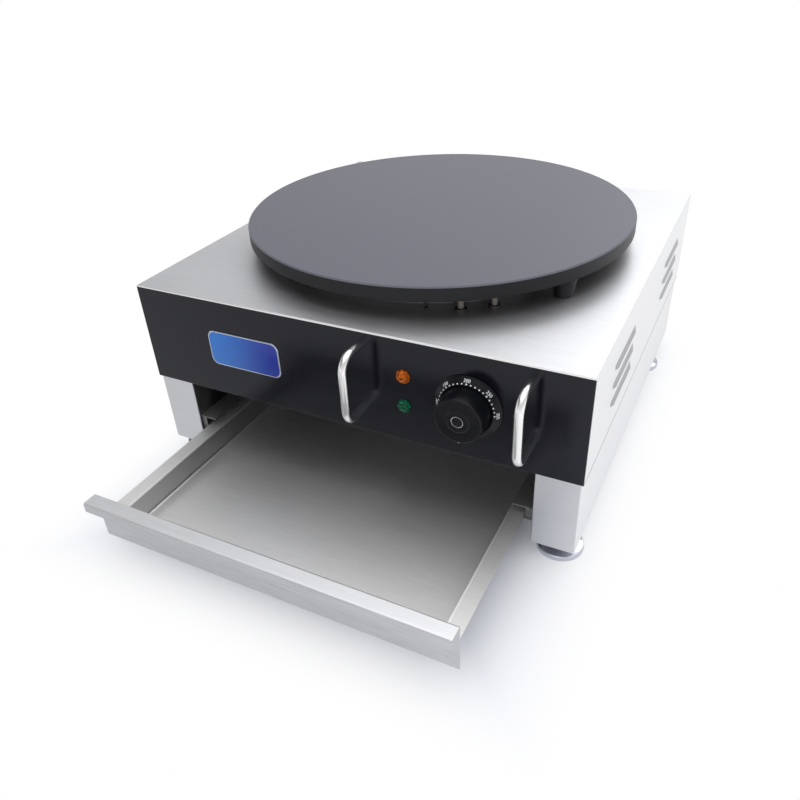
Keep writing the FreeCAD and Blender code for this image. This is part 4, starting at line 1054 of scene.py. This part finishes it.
class CREPE_OT_sheet_steel(Operator):
    """Brushed cover and sides, runners and inner sheet."""

    bl_idname = "crepe_maker.sheet_steel"
    bl_label = "Sheet steel"

    def execute(self, context):
        steel = settings().steel
        # Painted light: the sides of the cover and the chassis are tinted paler
        cover = brushed_steel(
            "cover_steel", steel, steel.colour, along=(2, 2, 0), streaks=1.2,
            pale=(0, 0.6), shaded=cover_dulling,
        )
        chassis = brushed_steel(
            "chassis_steel", steel, steel.colour, along=(1, 0, 0), streaks=0.9,
            pale=(0, 0.6), shaded=bay_dulling,
        )
        runner = brushed_steel(
            "runner_steel", steel, steel.runner_colour, along=(1, 0, 0), streaks=0.9,
            shaded=runner_dulling,
        )
        inner = plated_steel("inner_steel", steel.inner_colour, INNER_ROUGHNESS)
        clothe(cover, "top_cover")
        clothe(chassis, "left_side_panel", "right_side_panel", "rear_panel")
        clothe(runner, "left_runner", "right_runner")
        clothe(inner, "compartment_floor", "element_clamp", "heat_shield")
        return {"FINISHED"}


class CREPE_OT_drawer(Operator):
    """Finish of the pull-out drawer."""

    bl_idname = "crepe_maker.drawer"
    bl_label = "Drawer"

    def execute(self, context):
        steel = settings().steel
        tray = brushed_steel(
            "tray_steel", steel, steel.tray_colour, along=(1, 0, 0), streaks=0.9, lift=1.6,
            shaded=tray_dulling, bright=bright_bends,
        )
        # Painted light: the top of the drawer front's lip is tinted paler
        front = brushed_steel(
            "drawer_front_steel", steel, steel.front_colour, along=(2, 0, 0), streaks=3.0,
            pale=(2, 0.5),
        )
        clothe(tray, "drawer_tray")
        clothe(front, "drawer_front")
        return {"FINISHED"}


class CREPE_OT_griddle_plate(Operator):
    """Finish of the cast plate and of what heats it."""

    bl_idname = "crepe_maker.griddle_plate"
    bl_label = "Griddle plate"

    def execute(self, context):
        clothe(cooking_plate(settings().plate), "griddle_plate")
        clothe(plated_steel("element_tube", *ELEMENT_TUBE), "heating_element")
        clothe(fibre_board("insulation", MINERAL_FIBRE), "insulation_disc")
        return {"FINISHED"}


class CREPE_OT_control_panel(Operator):
    """Finish of the black control panel."""

    bl_idname = "crepe_maker.control_panel"
    bl_label = "Control panel"

    def execute(self, context):
        clothe(black_panel(settings().panel), "front_panel")
        return {"FINISHED"}


class CREPE_OT_badge(Operator):
    """Bare badge: a pale plate with a glossy coloured face."""

    bl_idname = "crepe_maker.badge"
    bl_label = "Badge"

    def execute(self, context):
        badge = settings().badge
        clothe(chrome("badge_rim", badge.rim_colour, RIM_ROUGHNESS), "badge_plate")
        size = span("badge_plate")
        form = bmesh.new()
        rounded_slab(
            form,
            width=size.x - 2 * badge.rim,
            height=size.z - 2 * badge.rim,
            corner=badge.corner,
            base=size.y * 0.8,
            top=size.y + 0.2 * MM,
            bevel=0.15 * MM,
        )
        move(form, facing_out(on_panel("badge_plate")))
        enamel = badge_enamel(badge, low("badge_plate").x, high("badge_plate").x)
        settle(form, "badge_face", enamel, "housing")
        return {"FINISHED"}


class CREPE_OT_handles(Operator):
    """The two bent bars on the panel."""

    bl_idname = "crepe_maker.handles"
    bl_label = "Handles"

    def execute(self, context):
        handles = settings().handles
        polish = chrome("chrome_bar", handles.colour, handles.roughness)
        for node in ("left_handle", "right_handle"):
            self.add_bar(node, handles, polish)
        return {"FINISHED"}

    def add_bar(self, node, handles, polish):
        """Draws a ring out along a leg, a bend, the grip, a bend and the other leg."""
        size = span(node)
        half = size.z / 2 - handles.radius
        straight = half - handles.bend
        leg = size.y - handles.radius - handles.bend
        form = bmesh.new()
        ring = bmesh.ops.create_circle(form, segments=32, radius=handles.radius)["verts"]
        bmesh.ops.translate(form, vec=(0, half, 0), verts=ring)
        edges = self.drawn(form, form.edges[:], (0, 0, leg))
        edges = self.bent(form, edges, (0, straight, leg))
        edges = self.drawn(form, edges, (0, -2 * straight, 0))
        edges = self.bent(form, edges, (0, -straight, leg))
        self.drawn(form, edges, (0, 0, -leg))
        bmesh.ops.holes_fill(form, edges=form.edges)
        move(form, facing_out(on_panel(node)))
        settle(form, f"{node}_bar", polish, "housing", replaces=(node,))

    def drawn(self, form, edges, way):
        """Draws the bar's open end along, and gives its new end."""
        made = bmesh.ops.extrude_edge_only(form, edges=edges)["geom"]
        bmesh.ops.translate(form, vec=way, verts=of_kind(made, bmesh.types.BMVert))
        return of_kind(made, bmesh.types.BMEdge)

    def bent(self, form, edges, centre):
        """Turns the bar's open end a quarter round a centre, and gives its new end."""
        made = bmesh.ops.spin(
            form, geom=edges, cent=centre, axis=(1, 0, 0), angle=math.pi / 2, steps=14
        )
        return of_kind(made["geom_last"], bmesh.types.BMEdge)


class CREPE_OT_lamps(Operator):
    """The two faceted pilot lamps."""

    bl_idname = "crepe_maker.lamps"
    bl_label = "Pilot lamps"

    def execute(self, context):
        lamps = settings().lamps
        for node, colour, slot in (
            ("amber_lamp_lens", lamps.amber, "amber_lens"),
            ("green_lamp_lens", lamps.green, "green_lens"),
        ):
            self.add_lens(node, lamp_lens(slot, colour), slot, lamps.facets)
        clothe(moulded_plastic("lamp_body", *LAMP_BODY), "lamp_bodies")
        return {"FINISHED"}

    def add_lens(self, node, material, slot, facets):
        """A flange and three rows of facets, each ring turned half a facet from the last."""
        radius = span(node).x / 2
        height = span(node).y
        form = bmesh.new()
        spun(form, [(radius * share, height * rise) for share, rise in LENS_FLANGE], 48)
        before = []
        for number, (share, rise) in enumerate(LENS_RINGS):
            ring = bmesh.ops.create_circle(form, segments=facets, radius=radius * share)["verts"]
            turn = Matrix.Rotation(math.pi * number / facets, 4, "Z")
            move(form, Matrix.Translation((0, 0, height * rise)) @ turn, ring)
            edges = [edge for edge in form.edges if all(vert in ring for vert in edge.verts)]
            if before:
                bmesh.ops.bridge_loops(form, edges=before + edges)
            before = edges
        bmesh.ops.edgenet_fill(form, edges=before)
        bmesh.ops.triangulate(form, faces=form.faces)
        move(form, facing_out(on_panel(node)))
        settle(form, f"{slot}_jewel", material, "housing", smooth=False, replaces=(node,))


class CREPE_OT_dial(Operator):
    """Dots and numbers on the fixed bezel."""

    bl_idname = "crepe_maker.dial"
    bl_label = "Dial"

    def execute(self, context):
        dial = settings().dial
        bezel = moulded_plastic(
            "dial_black", dial.black, MOULDED_ROUGHNESS, 0.2, grain=1800, shine=MOULDED_SHINE
        )
        clothe(bezel, "dial_bezel")
        mark = printed_mark("dial_marks", dial.mark_colour)
        numbers = range(dial.first_number, dial.last_number + 1, dial.number_step)
        self.add_dots(dial, mark, len(numbers))
        for place, number in enumerate(numbers):
            self.add_number(dial, mark, number, dial.first_angle + place * dial.number_turn)
        return {"FINISHED"}

    def add_dots(self, dial, mark, numbers):
        """A row of dots, a little larger at each number."""
        form = bmesh.new()
        step = dial.number_turn / dial.dots_per_number
        for count in range((numbers - 1) * dial.dots_per_number + 1):
            share = 1.15 if count % dial.dots_per_number == 0 else 1.0
            dot = bmesh.ops.create_cone(
                form,
                cap_ends=True,
                segments=16,
                radius1=dial.dot_radius * share,
                radius2=dial.dot_radius * share * 0.9,
                depth=0.10 * MM,
            )
            angle = dial.first_angle + count * step
            move(form, dial_matrix(dial, dial.dot_circle, angle), dot["verts"])
        settle(form, "dial_dots", mark, "housing")

    def add_number(self, dial, mark, number, angle):
        data = bpy.data.curves.new("number", "FONT")
        data.body = str(number)
        data.align_x = "CENTER"
        data.size = dial.number_height
        data.extrude = 0.05 * MM
        data.offset = 0.03 * MM
        data.resolution_u = 6
        text = bpy.data.objects.new("number", data)
        bpy.context.scene.collection.objects.link(text)
        bpy.context.view_layer.update()
        mesh = bpy.data.meshes.new_from_object(text)
        form = bmesh.new()
        form.from_mesh(mesh)
        bpy.data.objects.remove(text)
        bpy.data.curves.remove(data)
        bpy.data.meshes.remove(mesh)
        move(form, dial_matrix(dial, dial.number_circle, angle))
        settle(form, f"dial_number_{number}", mark, "housing", smooth=False)


class CREPE_OT_knob(Operator):
    """Ribbed knob with its plain cap and white pointer."""

    bl_idname = "crepe_maker.knob"
    bl_label = "Knob"

    def execute(self, context):
        dial = settings().dial
        black = moulded_plastic(
            "knob_black", dial.black, MOULDED_ROUGHNESS, 0.06, grain=1600, shine=MOULDED_SHINE
        )
        self.add_grip(dial, black)
        self.add_cap(black)
        clothe(printed_mark("pointer_white", POINTER_WHITE), "knob_pointer")
        clothe(chrome("cap_rim", *CAP_CHROME), "knob_cap")
        clothe(plated_steel("shaft_brass", *BRASS), "thermostat_shaft")
        return {"FINISHED"}

    def add_grip(self, dial, black):
        panel = on_panel("knob").y
        foot = panel - high("knob").y
        top = panel - low("knob").y
        face = top - RING_RISE
        wide = span("knob").x / 2
        narrow = wide - KNOB_TAPER
        profile = [
            # Foot and its rounded edge
            (0, foot),
            (wide - 0.8 * MM, foot),
            (wide - 0.2 * MM, foot + 0.2 * MM),
            (wide, foot + 0.8 * MM),
            # Shoulder at the end of the ribbed side
            (narrow + 0.15 * MM, face - 1.9 * MM),
            (narrow - 0.10 * MM, face - 1.0 * MM),
            (narrow - 0.65 * MM, face - 0.35 * MM),
            (narrow - 1.50 * MM, face),
            # Dished face
            (narrow - 2.60 * MM, face - 0.15 * MM),
            (narrow - 6.0 * MM, face - 0.45 * MM),
            # Raised ring
            (RING_OUTER, face - 0.35 * MM),
            (RING_OUTER - 0.7 * MM, face + 0.25 * MM),
            (RING_INNER + 0.8 * MM, top - 0.05 * MM),
            (RING_INNER, top),
            # Seat of the cap
            (CAP_SEAT_RADIUS, top),
            (CAP_SEAT_RADIUS - 0.05 * MM, top - CAP_SEAT),
            (0, top - CAP_SEAT),
        ]
        form = bmesh.new()
        spun(form, profile, dial.rib_count * 2)
        self.cut_ribs(form, dial, foot + 0.5 * MM, face - 1.5 * MM)
        move(form, facing_out(on_panel("knob")))
        settle(form, "knob_grip", black, "knob", replaces=("knob",))

    def cut_ribs(self, form, dial, lowest, highest):
        """Draws in every other line of vertices on the knob's side."""
        step = math.pi / dial.rib_count
        for vert in form.verts:
            radius = math.hypot(vert.co.x, vert.co.y)
            on_side = lowest < vert.co.z < highest and radius > PLAIN_RADIUS
            turn = round(math.atan2(vert.co.y, vert.co.x) / step)
            if on_side and turn % 2:
                share = 1 - dial.rib_depth / radius
                vert.co.x *= share
                vert.co.y *= share

    def add_cap(self, black):
        """A plain disc in the knob's middle, inside the cap's bright rim."""
        radius = span("knob_cap").x / 2 - 0.7 * MM
        top = on_panel("knob_cap").y - low("knob_cap").y
        profile = [
            (0, top - 0.3 * MM),
            (radius, top - 0.3 * MM),
            (radius, top + 0.05 * MM),
            (radius - 0.2 * MM, top + 0.15 * MM),
            (0, top + 0.18 * MM),
        ]
        form = bmesh.new()
        spun(form, profile, 48)
        move(form, facing_out(on_panel("knob_cap")))
        settle(form, "knob_cap_face", black, "knob")


class CREPE_OT_feet(Operator):
    """Polished levelling feet and their nuts."""

    bl_idname = "crepe_maker.feet"
    bl_label = "Feet"

    def execute(self, context):
        polish = chrome("foot_chrome", *FOOT_CHROME)
        zinc = plated_steel("foot_zinc", *FOOT_ZINC)
        for corner in ("front_left", "front_right", "rear_left", "rear_right"):
            clothe(polish, f"{corner}_foot_pad")
            clothe(zinc, f"{corner}_foot_stud")
        clothe(zinc, "foot_lock_nuts", "foot_weld_nuts")
        return {"FINISHED"}


class CREPE_OT_small_parts(Operator):
    """Finishes of screws, gland, wiring and what the compartment holds."""

    bl_idname = "crepe_maker.small_parts"
    bl_label = "Small parts"

    def execute(self, context):
        clothe(
            plated_steel("zinc_screws", *SCREW_ZINC),
            "runner_screws",
            "plate_screws",
            "clamp_studs",
            "clamp_nuts",
            "handle_screws",
            "thermostat_screws",
            "cover_screws",
        )
        clothe(plated_steel("brass", *BRASS), "earth_stud")
        clothe(plated_steel("nickel", *NICKEL), "element_ferrules", "capillary_sensor")
        nylon = moulded_plastic("black_nylon", *BLACK_NYLON, texture=0.1)
        clothe(nylon, "cable_gland", "gland_nut", "thermostat", "safety_cutout")
        clothe(moulded_plastic("terminal", *CERAMIC), "terminal_block")
        clothe(moulded_plastic("wire_sleeve", *WIRE_SLEEVE), "wiring_loom")
        return {"FINISHED"}


class CREPE_PT_sidebar(Panel):
    """Lists the pieces and their settings."""

    bl_idname = "CREPE_PT_sidebar"
    bl_label = "Crepe maker"
    bl_space_type = "VIEW_3D"
    bl_region_type = "UI"
    bl_category = "Crepe maker"

    def draw(self, context):
        for operator in OPERATORS:
            self.layout.operator(operator.bl_idname)
        for piece in CrepeMakerSettings.__annotations__:
            group = getattr(context.scene.crepe_maker, piece)
            box = self.layout.box()
            box.label(text=piece.capitalize())
            for name in type(group).__annotations__:
                box.prop(group, name)


OPERATORS = (
    CREPE_OT_stage,
    CREPE_OT_sheet_steel,
    CREPE_OT_drawer,
    CREPE_OT_griddle_plate,
    CREPE_OT_control_panel,
    CREPE_OT_badge,
    CREPE_OT_handles,
    CREPE_OT_lamps,
    CREPE_OT_dial,
    CREPE_OT_knob,
    CREPE_OT_feet,
    CREPE_OT_small_parts,
)
GROUPS = (
    StageSettings,
    SteelSettings,
    PlateSettings,
    PanelSettings,
    BadgeSettings,
    HandleSettings,
    DialSettings,
    LampSettings,
    CrepeMakerSettings,
)
CLASSES = (*GROUPS, *OPERATORS, CREPE_PT_sidebar)


def register():
    for item in CLASSES:
        bpy.utils.register_class(item)
    bpy.types.Scene.crepe_maker = PointerProperty(type=CrepeMakerSettings)


def unregister():
    del bpy.types.Scene.crepe_maker
    for item in reversed(CLASSES):
        bpy.utils.unregister_class(item)


def main():
    register()
    bpy.ops.crepe_maker.stage()
    bpy.ops.crepe_maker.sheet_steel()
    bpy.ops.crepe_maker.drawer()
    bpy.ops.crepe_maker.griddle_plate()
    bpy.ops.crepe_maker.control_panel()
    bpy.ops.crepe_maker.badge()
    bpy.ops.crepe_maker.handles()
    bpy.ops.crepe_maker.lamps()
    bpy.ops.crepe_maker.dial()
    bpy.ops.crepe_maker.knob()
    bpy.ops.crepe_maker.feet()
    bpy.ops.crepe_maker.small_parts()


if __name__ == "__main__":
    main()
